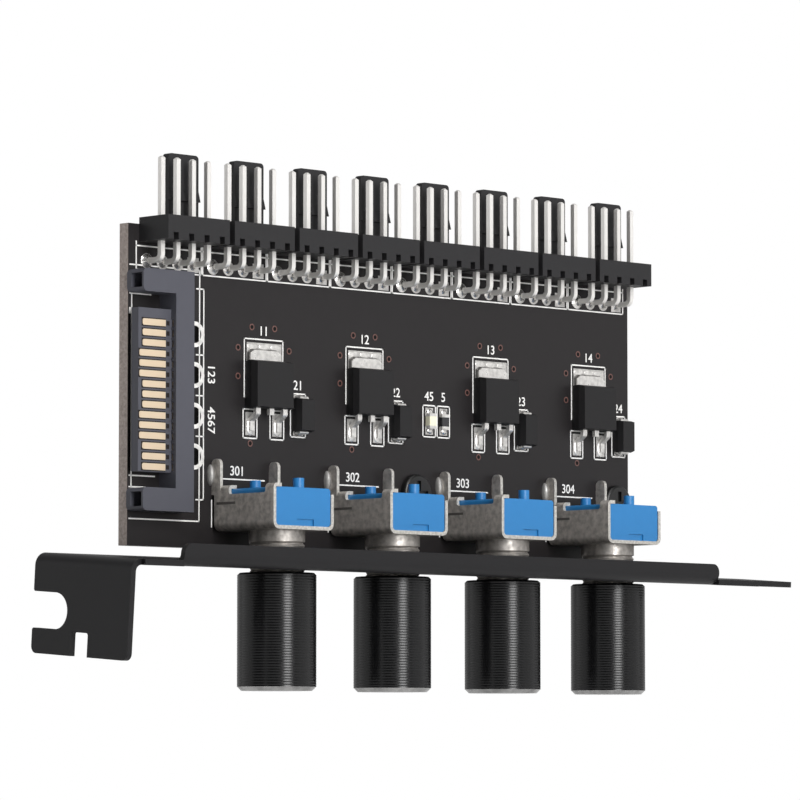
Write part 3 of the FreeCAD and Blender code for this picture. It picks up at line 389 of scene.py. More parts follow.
def span(centre, half):
    """The two ends of a length, from its middle."""
    return (centre - half, centre + half)


def distance(name, description, default):
    shown = {"subtype": "DISTANCE", "unit": "LENGTH", "precision": 5}
    return FloatProperty(name=name, description=description, default=default, min=0.0, **shown)


def colour(name, description, default):
    return FloatVectorProperty(
        name=name, description=description, default=default, min=0.0, max=1.0, size=3, subtype="COLOR"
    )


class PrintSizes(PropertyGroup):
    """White print on the board."""

    line: distance("Line width", "Width of a printed line", 0.17 * MM)
    rise: distance("Thickness", "How far the print stands off the board", 0.03 * MM)
    number: distance("Number height", "Height of a printed number", 1.2 * MM)


class SolderSizes(PropertyGroup):
    """Pads and solder joints."""

    pad: distance("Pad diameter", "Diameter of a header pin's pad", 1.85 * MM)
    rise: distance("Pad thickness", "How far a pad stands off the board", 0.045 * MM)
    joint: distance("Joint height", "Height of the solder round a pin", 0.6 * MM)
    blob: distance("Blob height", "Height of the solder beside a lug", 0.65 * MM)


class TurningSizes(PropertyGroup):
    """Threads and turned rings."""

    thread: distance("Thread pitch", "Step of the bushing's thread", 0.75 * MM)
    thread_depth: distance("Thread depth", "Depth of the bushing's thread", 0.28 * MM)
    ring: distance("Ring spacing", "Step of the fine rings round a knob", 0.34 * MM)
    ring_depth: distance("Ring depth", "Depth of the fine rings round a knob", 0.014 * MM)


class CardColours(PropertyGroup):
    """Colours of the card's materials."""

    printing: colour("Print", "White print on the board", (0.78, 0.77, 0.75))
    solder_mask: colour("Solder mask", "The board's faces", (0.0115, 0.010, 0.0105))
    laminate: colour("Laminate", "The board's cut edges", (0.40, 0.34, 0.31))
    powder: colour("Powder coat", "The slot bracket", (0.007, 0.0066, 0.0074))
    header: colour("Header plastic", "The fan headers", (0.014, 0.0135, 0.0145))
    plug: colour("Plug plastic", "The power plug", (0.060, 0.061, 0.075))
    contact: colour("Contact gold", "The plug's contacts", (0.72, 0.58, 0.42))
    tin: colour("Tin", "Pins, pads and leads", (0.86, 0.84, 0.81))
    resin: colour("Package resin", "Transistors and diodes", (0.011, 0.0105, 0.011))
    shell: colour("Shell steel", "The potentiometers' folded shells", (0.62, 0.58, 0.54))
    cut_edge: colour("Cut edge", "Bright edges of the folded shells", (0.62, 0.60, 0.56))
    moulding: colour("Blue moulding", "The potentiometers' bodies", (0.0165, 0.172, 0.425))
    knob: colour("Knob black", "The knobs' sides", (0.003, 0.003, 0.0033))
    bare_metal: colour("Bare metal", "Knob ends, shafts and bushings", (0.80, 0.79, 0.78))
    bushing: colour("Bushing metal", "The potentiometers' threaded bushings", (0.50, 0.47, 0.44))
    copper: colour("Copper", "Via rings", (0.13, 0.06, 0.05))
    rivet: colour("Rivet plastic", "The two rivets", (0.004, 0.004, 0.004))
    lamp: colour("Lamp", "The lamp's resin", (0.75, 0.72, 0.52))
    glaze: colour("Chip glaze", "The chip resistor", (0.02, 0.02, 0.022))
    rotor: colour("Rotor plastic", "The potentiometers' rotors", (0.8, 0.77, 0.7))
    track: colour("Track board", "The potentiometers' tracks", (0.09, 0.06, 0.04))
    hole: colour("Hole shadow", "Walls of the small holes", (0.004, 0.003, 0.003))
    channel: colour("Channel shadow", "Channels of the plug's contacts", (0.012, 0.009, 0.008))
    floor: colour("Floor", "The studio's floor", (0.88, 0.88, 0.88))


def new_object(name, data):
    """An object in the scene."""
    made = bpy.data.objects.new(name, data)
    bpy.context.scene.collection.objects.link(made)
    return made


def solid(bm, name, material):
    """Turns a filled bmesh into an object."""
    bmesh.ops.recalc_face_normals(bm, faces=bm.faces)
    mesh = bpy.data.meshes.new(name)
    bm.to_mesh(mesh)
    bm.free()
    mesh.materials.append(material)
    return new_object(name, mesh)


def put(bm, name, material, body="card", smooth_angle=None):
    """Turns a filled bmesh into a piece that rides on a body."""
    piece = solid(bm, name, material)
    if smooth_angle is not None:
        piece.data.shade_smooth()
        piece.data.set_sharp_from_angle(angle=math.radians(smooth_angle))
    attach(piece, body)
    return piece


def add_block(bm, x, y, z):
    """A block between the two ends given for each direction."""
    centre = Vector([sum(ends) / 2 for ends in (x, y, z)])
    size = [abs(ends[1] - ends[0]) for ends in (x, y, z)]
    place = Matrix.Translation(centre) @ Matrix.Diagonal((*size, 1))
    bmesh.ops.create_cube(bm, size=1, matrix=place)


def add_skin(bm, loops, closed=False):
    """Skins loops of as many points each, and caps the ends unless it closes on itself."""
    rings = [[bm.verts.new(point) for point in loop] for loop in loops]
    pairs = list(zip(rings, rings[1:]))
    if closed:
        pairs.append((rings[-1], rings[0]))
    for near, far in pairs:
        for i in range(len(near)):
            j = (i + 1) % len(near)
            bm.faces.new((near[i], near[j], far[j], far[i]))
    if not closed:
        bm.faces.new(rings[0])
        bm.faces.new(rings[-1])


def oval(x, z, radius_x, radius_z, out, behind=False):
    """Points round an oval that lies out from the board's front face, or from its back."""
    y = BOARD_HIGH.y + out if behind else BOARD_LOW.y - out
    turns = [math.tau * i / ROUND_STEPS for i in range(ROUND_STEPS)]
    return [Vector((x + radius_x * math.cos(t), y, z + radius_z * math.sin(t))) for t in turns]


def add_flat(bm, x, z, rise):
    """A thin block on the board's face."""
    add_block(bm, x, (BOARD_LOW.y + BURY, BOARD_LOW.y - rise), z)


def add_collar(bm, x, z, corners):
    """A ring, by the radius of each corner of its section and how far that is out from the board."""
    add_skin(bm, [oval(x, z, radius, radius, out) for radius, out in corners], closed=True)


def add_ring(bm, x, z, inner, outer, rise):
    """A thin ring on the board's face."""
    add_collar(bm, x, z, ((outer, -BURY), (outer, rise), (inner, rise), (inner, -BURY)))


def add_dome(bm, x, z, radius_x, radius_z, height, behind=False):
    """A rounded blob on the board."""
    loops = [oval(x, z, radius_x, radius_z, -BURY, behind)]
    for angle in DOME_ANGLES:
        share = math.cos(math.radians(angle))
        out = height * math.sin(math.radians(angle))
        loops.append(oval(x, z, radius_x * share, radius_z * share, out, behind))
    add_skin(bm, loops)


def add_joint(bm, x, z, radius, tip, height, behind=False):
    """A hollow-sided cone of solder round a pin."""
    loops = [oval(x, z, radius, radius, -BURY, behind)]
    for step in range(CONE_STEPS + 1):
        part = step / CONE_STEPS
        wide = tip + (radius - tip) * (1 - part) ** 2
        loops.append(oval(x, z, wide, wide, height * part, behind))
    add_skin(bm, loops)


def add_turned(bm, x, y, rows, steps, pitch):
    """Rows of radius, height and groove depth turned about an upright line; a groove follows a helix."""
    loops = []
    for radius, height, groove in rows:
        loop = []
        for i in range(steps):
            turn = i / steps
            phase = (height / pitch - turn) % 1
            wide = radius - groove * abs(2 * phase - 1)
            across = wide * math.cos(math.tau * turn)
            out = wide * math.sin(math.tau * turn)
            loop.append(Vector((x + across, y + out, height)))
        loops.append(loop)
    add_skin(bm, loops, closed=True)


def add_across(bm, ends, z, sizes):
    """A printed line along the board, between two ends."""
    half = sizes.line / 2
    add_flat(bm, (ends[0] - half, ends[1] + half), span(z, half), sizes.rise)


def add_upright(bm, x, ends, sizes):
    """A printed line up the board, between two ends."""
    half = sizes.line / 2
    add_flat(bm, span(x, half), (ends[0] - half, ends[1] + half), sizes.rise)


def add_outline(bm, x, z, sizes):
    """A printed rectangle."""
    for end in z:
        add_across(bm, x, end, sizes)
    for side in x:
        add_upright(bm, side, z, sizes)


def add_number(bm, text, x, z, sizes, turned=0.0):
    """A printed number, centred on a place on the board's face."""
    font = bpy.data.curves.new("number", "FONT")
    font.body = text
    font.size = sizes.number * FONT_SIZE_FOR_HEIGHT
    font.align_x = "CENTER"
    font.align_y = "CENTER"
    font.offset = sizes.line / STROKE_PART
    font.extrude = (sizes.rise + BURY) / 2
    holder = bpy.data.objects.new("number", font)
    mesh = bpy.data.meshes.new_from_object(holder)
    place = Matrix.Translation((x, BOARD_LOW.y - (sizes.rise - BURY) / 2, z))
    stand = Matrix.Rotation(math.radians(90), 4, "X")
    mesh.transform(place @ stand @ Matrix.Rotation(math.radians(turned), 4, "Z"))
    bm.from_mesh(mesh)
    bpy.data.objects.remove(holder)
    bpy.data.meshes.remove(mesh)
    bpy.data.curves.remove(font)


def print_headers(bm, sizes):
    for header in numbered("fan_header"):
        low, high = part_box(header)
        under = low[2]
        left = low[0] - HEADER_PRINT_LEFT
        right = high[0] + HEADER_PRINT_RIGHT
        bottom = under - HEADER_PRINT_LOW
        add_across(bm, (left, right), bottom, sizes)
        add_across(bm, (left, right), under - HEADER_PRINT_HIGH, sizes)
        for side in (left, right):
            add_upright(bm, side, (bottom, under), sizes)


def print_plug(bm, sizes):
    """The plug's outline, the bars between the spare holes and the marks at the board's edge."""
    edge = BOARD_LOW.x
    foot = BOARD_LOW.z
    left = edge + PLUG_PRINT_START
    right = edge + PLUG_PRINT_RIGHT
    outer = edge + PLUG_PRINT_OUTER
    bottom = foot + PLUG_PRINT_BOTTOM
    top = foot + PLUG_PRINT_TOP
    lower = foot + PLUG_PRINT_LOWER_BAR
    upper = foot + PLUG_PRINT_UPPER_BAR
    add_across(bm, (left, right), top, sizes)
    add_across(bm, (left, right), bottom, sizes)
    add_upright(bm, right, (bottom, top), sizes)
    add_upright(bm, outer, (lower, upper), sizes)
    heights = [z for _, z in spare_holes()]
    between = [(low + high) / 2 for low, high in zip(heights, heights[1:])]
    for bar in (lower, upper, *between):
        add_across(bm, (edge + PLUG_BAR_START, outer), bar, sizes)
    start = edge + PLUG_EDGE_LINE
    add_upright(bm, start, [foot + end for end in PLUG_EDGE_LINE_ENDS], sizes)
    for above, reach in PLUG_STUB_LINES:
        add_across(bm, (left, edge + reach), foot + above, sizes)
    mark = [foot + end for end in PLUG_EDGE_MARK]
    add_flat(bm, (edge + sizes.line, start), mark, sizes.rise)
    for text, above in PLUG_NUMBERS:
        add_number(bm, text, edge + PLUG_NUMBER_X, foot + above, sizes, turned=-90)


def print_transistors(bm, sizes):
    for number, (x, edge) in enumerate(transistors(), 1):
        left = x - TRANSISTOR_PRINT_HALF
        right = x + TRANSISTOR_PRINT_HALF
        top = edge + TRANSISTOR_PRINT_RISE
        add_across(bm, (left, right), top, sizes)
        add_upright(bm, left, (edge - TRANSISTOR_PRINT_LEFT_DROP, top), sizes)
        add_upright(bm, right, (edge - TRANSISTOR_PRINT_RIGHT_DROP, top), sizes)
        for side in (-1, 1):
            ends = span(x + side * LEG_SPREAD, LEG_PRINT_WIDTH / 2)
            add_outline(bm, ends, (edge - LEG_PRINT_BOTTOM, edge - LEG_PRINT_TOP), sizes)
        add_number(bm, f"1{number}", x, top + sizes.number * NUMBER_RISE, sizes)


def print_small_parts(bm, sizes):
    """Outlines and numbers at the diodes and the two chips."""
    for part, kind, number in small_parts():
        place = middle(part)
        add_outline(bm, span(place.x, kind.print_half), span(place.z, kind.print_reach), sizes)
        above = kind.print_reach + sizes.number * kind.number_rise
        add_number(bm, number, place.x, place.z + above, sizes)


def print_pots(bm, sizes):
    line = BOARD_LOW.z + POT_LINE_ABOVE_BOARD
    for number, body in enumerate(numbered("pot_body"), 1):
        x = middle(body).x
        add_across(bm, (x - POT_LINE_LEFT, x + POT_LINE_RIGHT), line, sizes)
        ends = (BOARD_LOW.z + POT_SIDE_LOW, BOARD_LOW.z + POT_SIDE_HIGH)
        add_upright(bm, x - POT_SIDE_LINE, ends, sizes)
        add_number(bm, f"30{number}", x + POT_NUMBER_SHIFT, line + POT_NUMBER_ABOVE_LINE, sizes)


class CARD_OT_board_print(Operator):
    """Print the white outlines and numbers on the board"""

    bl_idname = "card.board_print"
    bl_label = "Board print"

    def execute(self, context):
        scene = context.scene
        bm = bmesh.new()
        for part in (print_headers, print_plug, print_transistors, print_small_parts, print_pots):
            part(bm, scene.card_print)
        put(bm, "board_print", grained("board_print_ink", scene.card_colours.printing))
        return {"FINISHED"}


def header_pins(header):
    """Where a header's pins enter the board."""
    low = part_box(header)[0]
    z = low[2] - PADS_BELOW_HEADER
    return [(low[0] + (pin + 0.5) * PIN_SPACING, z) for pin in range(PINS_IN_HEADER)]


def spare_holes():
    """Where the spare plug holes are."""
    x = BOARD_LOW.x + SPARE_HOLE_X
    return [(x, BOARD_LOW.z + SPARE_HOLE_LOWEST + k * SPARE_HOLE_STEP) for k in range(SPARE_HOLES)]


def transistor_pads(bm, x, edge, rise):
    """The large pad under the heat tab, and one under each leg."""
    add_flat(bm, (x - HEAT_PAD_LEFT, x + HEAT_PAD_RIGHT), span(edge, HEAT_PAD_RISE), rise)
    half = LEG_PRINT_WIDTH / 2 - LEG_PAD_MARGIN
    ends = (edge - LEG_PRINT_BOTTOM + LEG_PAD_MARGIN, edge - LEG_PRINT_TOP - LEG_PAD_MARGIN)
    for side in (-1, 1):
        add_flat(bm, span(x + side * LEG_SPREAD, half), ends, rise)


class CARD_OT_board_pads(Operator):
    """Lay the tinned pads on the board's face"""

    bl_idname = "card.board_pads"
    bl_label = "Board pads"

    def execute(self, context):
        scene = context.scene
        sizes = scene.card_solder
        bm = bmesh.new()
        radius = sizes.pad / 2
        for header in numbered("fan_header"):
            pins = header_pins(header)
            for place in pins[:-1]:
                add_ring(bm, *place, radius * PAD_BORE, radius, sizes.rise)
            add_flat(bm, *[span(middle_line, radius) for middle_line in pins[-1]], sizes.rise)
        for x, edge in transistors():
            transistor_pads(bm, x, edge, sizes.rise)
        for part, kind, _ in small_parts():
            place = middle(part)
            for side in (-1, 1):
                reach = (place.z + side * kind.pad_start, place.z + side * kind.pad_end)
                add_flat(bm, span(place.x, kind.pad_half), reach, sizes.rise)
        tin = scene.card_colours.tin
        put(bm, "board_pads", grained("pad_tin", tin))
        rings = bmesh.new()
        for x, z in spare_holes():
            add_ring(rings, x, z, SPARE_HOLE_RADIUS, RING_PAD_RADIUS, sizes.rise)
        put(rings, "spare_hole_pads", grained("ring_pad_tin", tin))
        return {"FINISHED"}


def front_solder(bm, sizes):
    """Solder that shows in front: at the header pins, the small parts and the lugs."""
    for header in numbered("fan_header"):
        for number, (x, z) in enumerate(header_pins(header)):
            wide = sizes.pad / 2 * (PIN_CONE if number else FIRST_PIN_CONE)
            add_joint(bm, x, z, wide, CONE_TIP, sizes.joint)
    for part, kind, _ in small_parts():
        place = middle(part)
        for side in (-1, 1):
            add_dome(bm, place.x, place.z + side * kind.blob_reach, *kind.blob)


def lug_solder(bm, sizes):
    """The dull solder outside each lug."""
    for shell in numbered("pot_shell"):
        low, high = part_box(shell)
        z = high[2] - LUG_DROP
        for x, side in ((low[0], -1), (high[0], 1)):
            add_dome(bm, x + side * LUG_BLOB_SHIFT, z, *LUG_BLOB, sizes.blob)


def tab_outline(x, edge, grow, out):
    """The heat tab's outline with its cut corners, grown sideways and lifted off the board."""
    y = BOARD_LOW.y - out
    half = TAB_HALF + grow
    top = edge + TAB_REACH + grow
    bottom = edge - TAB_REACH
    corner = top - TAB_CORNER_RISE
    places = [
        (x - half, bottom),
        (x + half, bottom),
        (x + half, corner),
        (x + half - TAB_CORNER, top),
        (x - half + TAB_CORNER, top),
        (x - half, corner),
    ]
    return [Vector((across, y, up)) for across, up in places]


def transistor_solder(blobs, painted_shade_fillets):
    """Flat blobs above each heat tab and on the legs' feet, and the fillet round the tab, whose dark solder
    is painted shade.
    """
    for x, edge in transistors():
        for shift in HEAT_PAD_BLOBS:
            add_dome(blobs, x + shift, edge + HEAT_PAD_RISE - HEAT_PAD_BLOB_DROP, *HEAT_PAD_BLOB)
        for side in (-1, 1):
            add_dome(blobs, x + side * LEG_SPREAD, edge - LEG_TOE_DROP, *TOE_BLOB)
        add_skin(painted_shade_fillets, [tab_outline(x, edge, grow, out) for grow, out in TAB_FILLET])


def contact_heights():
    """The height of the middle of each of the plug's contacts."""
    low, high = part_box("power_plug_contacts")
    step = (high[2] - low[2] - CONTACT_HEIGHT) / (CONTACTS - 1)
    return [low[2] + CONTACT_HEIGHT / 2 + number * step for number in range(CONTACTS)]


def back_solder(bm):
    """Solder round every tail that comes through the board."""
    for header in numbered("fan_header"):
        for x, z in header_pins(header):
            add_joint(bm, x, z, *HEADER_BACK_CONE, TAIL_HEIGHT, behind=True)
    far_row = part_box("power_plug_contacts")[1][0] - CONTACT_TAIL_INSET
    for number, z in enumerate(contact_heights()):
        x = far_row - (number % 2) * CONTACT_ROW_STEP
        add_joint(bm, x, z, *PLUG_BACK_CONE, TAIL_HEIGHT, behind=True)
    strip_z = middle("pot_terminals").z
    for shell in numbered("pot_shell"):
        low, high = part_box(shell)
        x = (low[0] + high[0]) / 2
        for shift in (-STRIP_SPACING, 0, STRIP_SPACING):
            add_joint(bm, x + shift, strip_z, *STRIP_BACK_CONE, TAIL_HEIGHT, behind=True)
        for side in (low[0] + LUG_INSET, high[0] - LUG_INSET):
            add_dome(bm, side, high[2] - LUG_DROP, *LUG_BACK_BLOB, behind=True)


class CARD_OT_solder_joints(Operator):
    """Put solder on the front pads and round the tails behind the board"""

    bl_idname = "card.solder_joints"
    bl_label = "Solder joints"

    def execute(self, context):
        sizes = context.scene.card_solder
        tin = context.scene.card_colours.tin
        solder = grained("solder", tin)
        front, lugs, blobs, painted_shade_fillets, back = [bmesh.new() for _ in range(5)]
        front_solder(front, sizes)
        put(front, "solder_front", solder, smooth_angle=SOLDER_SMOOTH)
        lug_solder(lugs, sizes)
        put(lugs, "lug_solder", grained("dull_solder", tin), smooth_angle=SOLDER_SMOOTH)
        transistor_solder(blobs, painted_shade_fillets)
        flat = grained("pad_solder", tin)
        put(blobs, "transistor_solder", flat, smooth_angle=SOLDER_SMOOTH)
        # Dark solder as painted shade along each heat tab's edge
        put(painted_shade_fillets, "tab_fillets_painted_shade", grained("fillet_solder_painted_shade", tin))
        back_solder(back)
        put(back, "solder_back", solder, smooth_angle=SOLDER_SMOOTH)
        return {"FINISHED"}


class CARD_OT_vias(Operator):
    """Ring each transistor with its copper vias, cover each via's hole with a disc of painted shade, and line
    the spare plug holes with painted shade
    """

    bl_idname = "card.vias"
    bl_label = "Vias"

    def execute(self, context):
        scene = context.scene
        rings = bmesh.new()
        holes = bmesh.new()
        for x, edge in transistors():
            for along, above in VIA_PLACES:
                place = (x + along * MM, edge + above * MM)
                add_ring(rings, *place, VIA_HOLE_RADIUS, VIA_RADIUS, scene.card_print.rise)
                # A flat dark disc of painted shade over the via's hole
                dark = VIA_HOLE_RADIUS * VIA_HOLE_SHADE_OVERLAP
                add_dome(holes, *place, dark, dark, BURY / 2)
        put(rings, "via_rings", grained("via_copper", scene.card_colours.copper))
        deep = BOARD_HIGH.y - BOARD_LOW.y - BURY
        wall = SPARE_HOLE_RADIUS - BURY
        buried = SPARE_HOLE_RADIUS + BURY
        corners = ((buried, -BURY), (wall, -BURY), (wall, -deep), (buried, -deep))
        # Dark tubes of painted shade line the walls of the spare holes
        for x, z in spare_holes():
            add_collar(holes, x, z, corners)
        put(holes, "hole_shade_linings", grained("hole_shadow", scene.card_colours.hole))
        return {"FINISHED"}


class CARD_OT_contact_roots(Operator):
    """Set each contact of the plug on a dark plate of painted shade along its channel, with a dark block of
    painted shade at its root
    """

    bl_idname = "card.contact_roots"
    bl_label = "Contact channels"

    def execute(self, context):
        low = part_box("power_plug_contacts")[0]
        tongue = low[1] + CONTACT_PROUD
        root = [BOARD_LOW.x + end for end in CONTACT_ROOT]
        pocket_shade = [BOARD_LOW.x + end for end in CONTACT_POCKET_SHADE]
        channel_shade = bmesh.new()
        bridges = bmesh.new()
        half = CONTACT_HEIGHT / 2 + CHANNEL_SHADE_BORDER
        for number, z in enumerate(contact_heights()):
            tip = low[0] + (0 if number in LONG_CONTACTS else CONTACT_SET_BACK)
            up = span(z, half)
            # Painted shade: a dark plate showing round each contact, and a dark block for the shadow at its
            # root
            add_block(channel_shade, (tip - CHANNEL_SHADE_BORDER, root[0]), (tongue - BURY / 2, tongue + BURY), up)
            add_block(bridges, root, (low[1] - BURY / 2, tongue + BURY), up)
            add_block(channel_shade, pocket_shade, (low[1] - BURY, low[1]), span(z, POCKET_SHADE_HEIGHT / 2))
        dark = grained("channel_shadow", context.scene.card_colours.channel)
        put(channel_shade, "contact_channel_shade", dark)
        plug = frame["nodes"]["power_plug_housing"].material_slots[0].material
        put(bridges, "contact_bridges", plug)
        return {"FINISHED"}


class CARD_OT_shell_slits(Operator):
    """Lay a dark block of painted shade on the left wall of each potentiometer's shell, where its pressed
    slit is
    """

    bl_idname = "card.shell_slits"
    bl_label = "Shell slits"

    def execute(self, context):
        bm = bmesh.new()
        for shell in numbered("pot_shell"):
            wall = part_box(shell)[0][0]
            across = (wall - BURY, wall + SHELL_SHEET / 2)
            out = [BOARD_LOW.y - end for end in SLIT_FROM_BOARD]
            up = [BOARD_LOW.z + end for end in SLIT_ABOVE_BOARD]
            add_block(bm, across, out, up)
        # The block's dark colour is painted shade standing for the slit
        put(bm, "shell_slits", grained("slit_shadow", context.scene.card_colours.shell))
        return {"FINISHED"}


def bushing_rows(low, high, sizes):
    """The bushing from its chamfered end up its thread, its plain root and its head, and down its bore."""
    floor = high[2] - BUSHING_HEAD
    thread_end = floor - SHELL_SHEET - BUSHING_PLAIN
    thread_start = low[2] + BUSHING_CHAMFER
    rows = [(BUSHING_RADIUS - BUSHING_CHAMFER, low[2], 0)]
    count = math.ceil((thread_end - thread_start) / sizes.thread * ROWS_PER_THREAD)
    for i in range(count + 1):
        height = thread_start + (thread_end - thread_start) * i / count
        rows.append((BUSHING_RADIUS, height, sizes.thread_depth))
    head = (high[0] - low[0]) / 2
    rows.append((BUSHING_RADIUS, thread_end + sizes.thread / ROWS_PER_THREAD, 0))
    rows += [(BUSHING_RADIUS, floor, 0), (head, floor, 0), (head, high[2], 0)]
    rows += [(BUSHING_BORE, high[2], 0), (BUSHING_BORE, low[2], 0)]
    return rows


class CARD_OT_bushings(Operator):
    """Cut the threads of the potentiometers' bushings"""

    bl_idname = "card.bushings"
    bl_label = "Threaded bushings"

    def execute(self, context):
        scene = context.scene
        sizes = scene.card_turning
        metal = grained("bushing_metal", scene.card_colours.bushing)
        for number, node in enumerate(numbered("pot_bushing"), 1):
            low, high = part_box(node)
            place = middle(node)
            bm = bmesh.new()
            add_turned(bm, place.x, place.y, bushing_rows(low, high, sizes), BUSHING_STEPS, sizes.thread)
            piece = put(bm, f"threaded_bushing_{number}", metal, smooth_angle=THREAD_SMOOTH)
            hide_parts(node)
        return {"FINISHED"}


class CARD_OT_knob_rings(Operator):
    """Turn the fine rings round each knob's side"""

    bl_idname = "card.knob_rings"
    bl_label = "Knob rings"

    def execute(self, context):
        scene = context.scene
        sizes = scene.card_turning
        black = grained("knob_side", scene.card_colours.knob)
        for number, node in enumerate(numbered("knob"), 1):
            low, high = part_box(node)
            place = middle(node)
            radius = (high[0] - low[0]) / 2
            bottom = low[2] + KNOB_CHAMFER
            top = high[2] - KNOB_MOUTH_CHAMFER
            half_rings = 2 * round((top - bottom) / sizes.ring)
            rows = []
            for i in range(half_rings + 1):
                proud = BURY if i % 2 else BURY + sizes.ring_depth
                rows.append((radius + proud, bottom + (top - bottom) * i / half_rings, 0))
            rows.append((radius - KNOB_MOUTH_CHAMFER, top, 0))
            rows.append((radius - KNOB_MOUTH_CHAMFER, bottom, 0))
            bm = bmesh.new()
            add_turned(bm, place.x, place.y, rows, KNOB_STEPS, sizes.ring)
            body = body_of_node(node)
            put(bm, f"knob_rings_{number}", black, body, smooth_angle=RING_SMOOTH)
        return {"FINISHED"}


def set_inputs(node, values):
    """Sets a node's inputs, by their labels."""
    for label, value in values.items():
        node.inputs[label].default_value = value


def finish(name, base, roughness, metallic=0.0, gloss=0.5):
    """A material with one colour and gloss all over."""
    material = bpy.data.materials.new(name)
    material.use_nodes = True
    values = {"Base Color": (*base, 1), "Roughness": roughness, "Metallic": metallic}
    values["Specular IOR Level"] = gloss
    set_inputs(material.node_tree.nodes["Principled BSDF"], values)
    return material


def new_group(name, inputs, outputs):
    """An empty shader node group with its sockets, and its two end nodes."""
    group = bpy.data.node_groups.new(name, "ShaderNodeTree")
    for label, kind, default in inputs:
        socket = group.interface.new_socket(label, in_out="INPUT", socket_type=kind)
        socket.default_value = default
    for label, kind in outputs:
        group.interface.new_socket(label, in_out="OUTPUT", socket_type=kind)
    return group, group.nodes.new("NodeGroupInput"), group.nodes.new("NodeGroupOutput")


def math_node(group, operation, first, second):
    """A Math node fed by sockets or numbers."""
    node = group.nodes.new("ShaderNodeMath")
    node.operation = operation
    for socket, value in zip(node.inputs, (first, second)):
        if isinstance(value, (int, float)):
            socket.default_value = value
        else:
            group.links.new(value, socket)
    return node.outputs[0]


def mix_colours(group, factor, first, second):
    """A colour mix fed by three sockets."""
    node = group.nodes.new("ShaderNodeMix")
    node.data_type = "RGBA"
    group.links.new(factor, node.inputs["Factor"])
    group.links.new(first, node.inputs[6])
    group.links.new(second, node.inputs[7])
    return node.outputs[2]


def grain_group():
    """Flecks of a second colour with uneven gloss and height."""
    if "surface_grain" in bpy.data.node_groups:
        return bpy.data.node_groups["surface_grain"]
    group, start, end = new_group(
        "surface_grain",
        [
            ("Color", COLOUR_SOCKET, (0.5, 0.5, 0.5, 1)),
            ("Fleck Color", COLOUR_SOCKET, (0.2, 0.2, 0.2, 1)),
            ("Fleck Amount", NUMBER_SOCKET, 0.5),
            ("Scale", NUMBER_SOCKET, 1000.0),
            ("Contrast", NUMBER_SOCKET, 1.0),
            ("Roughness", NUMBER_SOCKET, 0.5),
            ("Roughness Spread", NUMBER_SOCKET, 0.1),
        ],
        [("Color", COLOUR_SOCKET), ("Roughness", NUMBER_SOCKET), ("Height", NUMBER_SOCKET)],
    )
    link = group.links.new
    place = group.nodes.new("ShaderNodeTexCoord")
    noise = group.nodes.new("ShaderNodeTexNoise")
    set_inputs(noise, {"Detail": GRAIN_DETAIL})
    link(place.outputs["Object"], noise.inputs["Vector"])
    link(start.outputs["Scale"], noise.inputs["Scale"])
    centred = math_node(group, "SUBTRACT", noise.outputs["Fac"], 0.5)
    stretched = math_node(group, "MULTIPLY", centred, start.outputs["Contrast"])
    level = math_node(group, "ADD", stretched, 0.5)
    level.node.use_clamp = True
    amount = math_node(group, "MULTIPLY", level, start.outputs["Fleck Amount"])
    mixed = mix_colours(group, amount, start.outputs["Color"], start.outputs["Fleck Color"])
    offset = math_node(group, "SUBTRACT", level, 0.5)
    spread = math_node(group, "MULTIPLY", offset, start.outputs["Roughness Spread"])
    rough = math_node(group, "ADD", start.outputs["Roughness"], spread)
    link(mixed, end.inputs["Color"])
    link(rough, end.inputs["Roughness"])
    link(level, end.inputs["Height"])
    return group


def cut_edge_group():
    """Another colour on a sheet's cut edges; Sheet Faces names the axes that its broad faces look along."""
    if "cut_edges" in bpy.data.node_groups:
        return bpy.data.node_groups["cut_edges"]
    group, start, end = new_group(
        "cut_edges",
        [
            ("Color", COLOUR_SOCKET, (0.5, 0.5, 0.5, 1)),
            ("Edge Color", COLOUR_SOCKET, (0.8, 0.8, 0.8, 1)),
            ("Sheet Faces", "NodeSocketVector", (0, 1, 0)),
        ],
        [("Color", COLOUR_SOCKET), ("Mask", NUMBER_SOCKET)],
    )
    link = group.links.new
    surface = group.nodes.new("ShaderNodeNewGeometry")
    size = group.nodes.new("ShaderNodeVectorMath")
    size.operation = "ABSOLUTE"
    link(surface.outputs["Normal"], size.inputs[0])
    along = group.nodes.new("ShaderNodeVectorMath")
    along.operation = "DOT_PRODUCT"
    link(size.outputs["Vector"], along.inputs[0])
    link(start.outputs["Sheet Faces"], along.inputs[1])
    mask = math_node(group, "LESS_THAN", along.outputs["Value"], EDGE_COSINE)
    mixed = mix_colours(group, mask, start.outputs["Color"], start.outputs["Edge Color"])
    link(mixed, end.inputs["Color"])
    link(mask, end.inputs["Mask"])
    return group


def below_group():
    """A mask for what lies under a height, in the object's own frame."""
    if "below_height" in bpy.data.node_groups:
        return bpy.data.node_groups["below_height"]
    inputs = [("Height", NUMBER_SOCKET, 0.0)]
    group, start, end = new_group("below_height", inputs, [("Mask", NUMBER_SOCKET)])
    place = group.nodes.new("ShaderNodeTexCoord")
    split = group.nodes.new("ShaderNodeSeparateXYZ")
    group.links.new(place.outputs["Object"], split.inputs[0])
    mask = math_node(group, "LESS_THAN", split.outputs["Z"], start.outputs["Height"])
    group.links.new(mask, end.inputs["Mask"])
    return group


def place_group(material, group, values):
    """One node group in a material, with its own values."""
    node = material.node_tree.nodes.new("ShaderNodeGroup")
    node.node_tree = group
    set_inputs(node, values)
    return node


def shade(base, factor):
    """A lighter or darker tone of a colour."""
    return tuple(min(1.0, channel * factor) for channel in base)


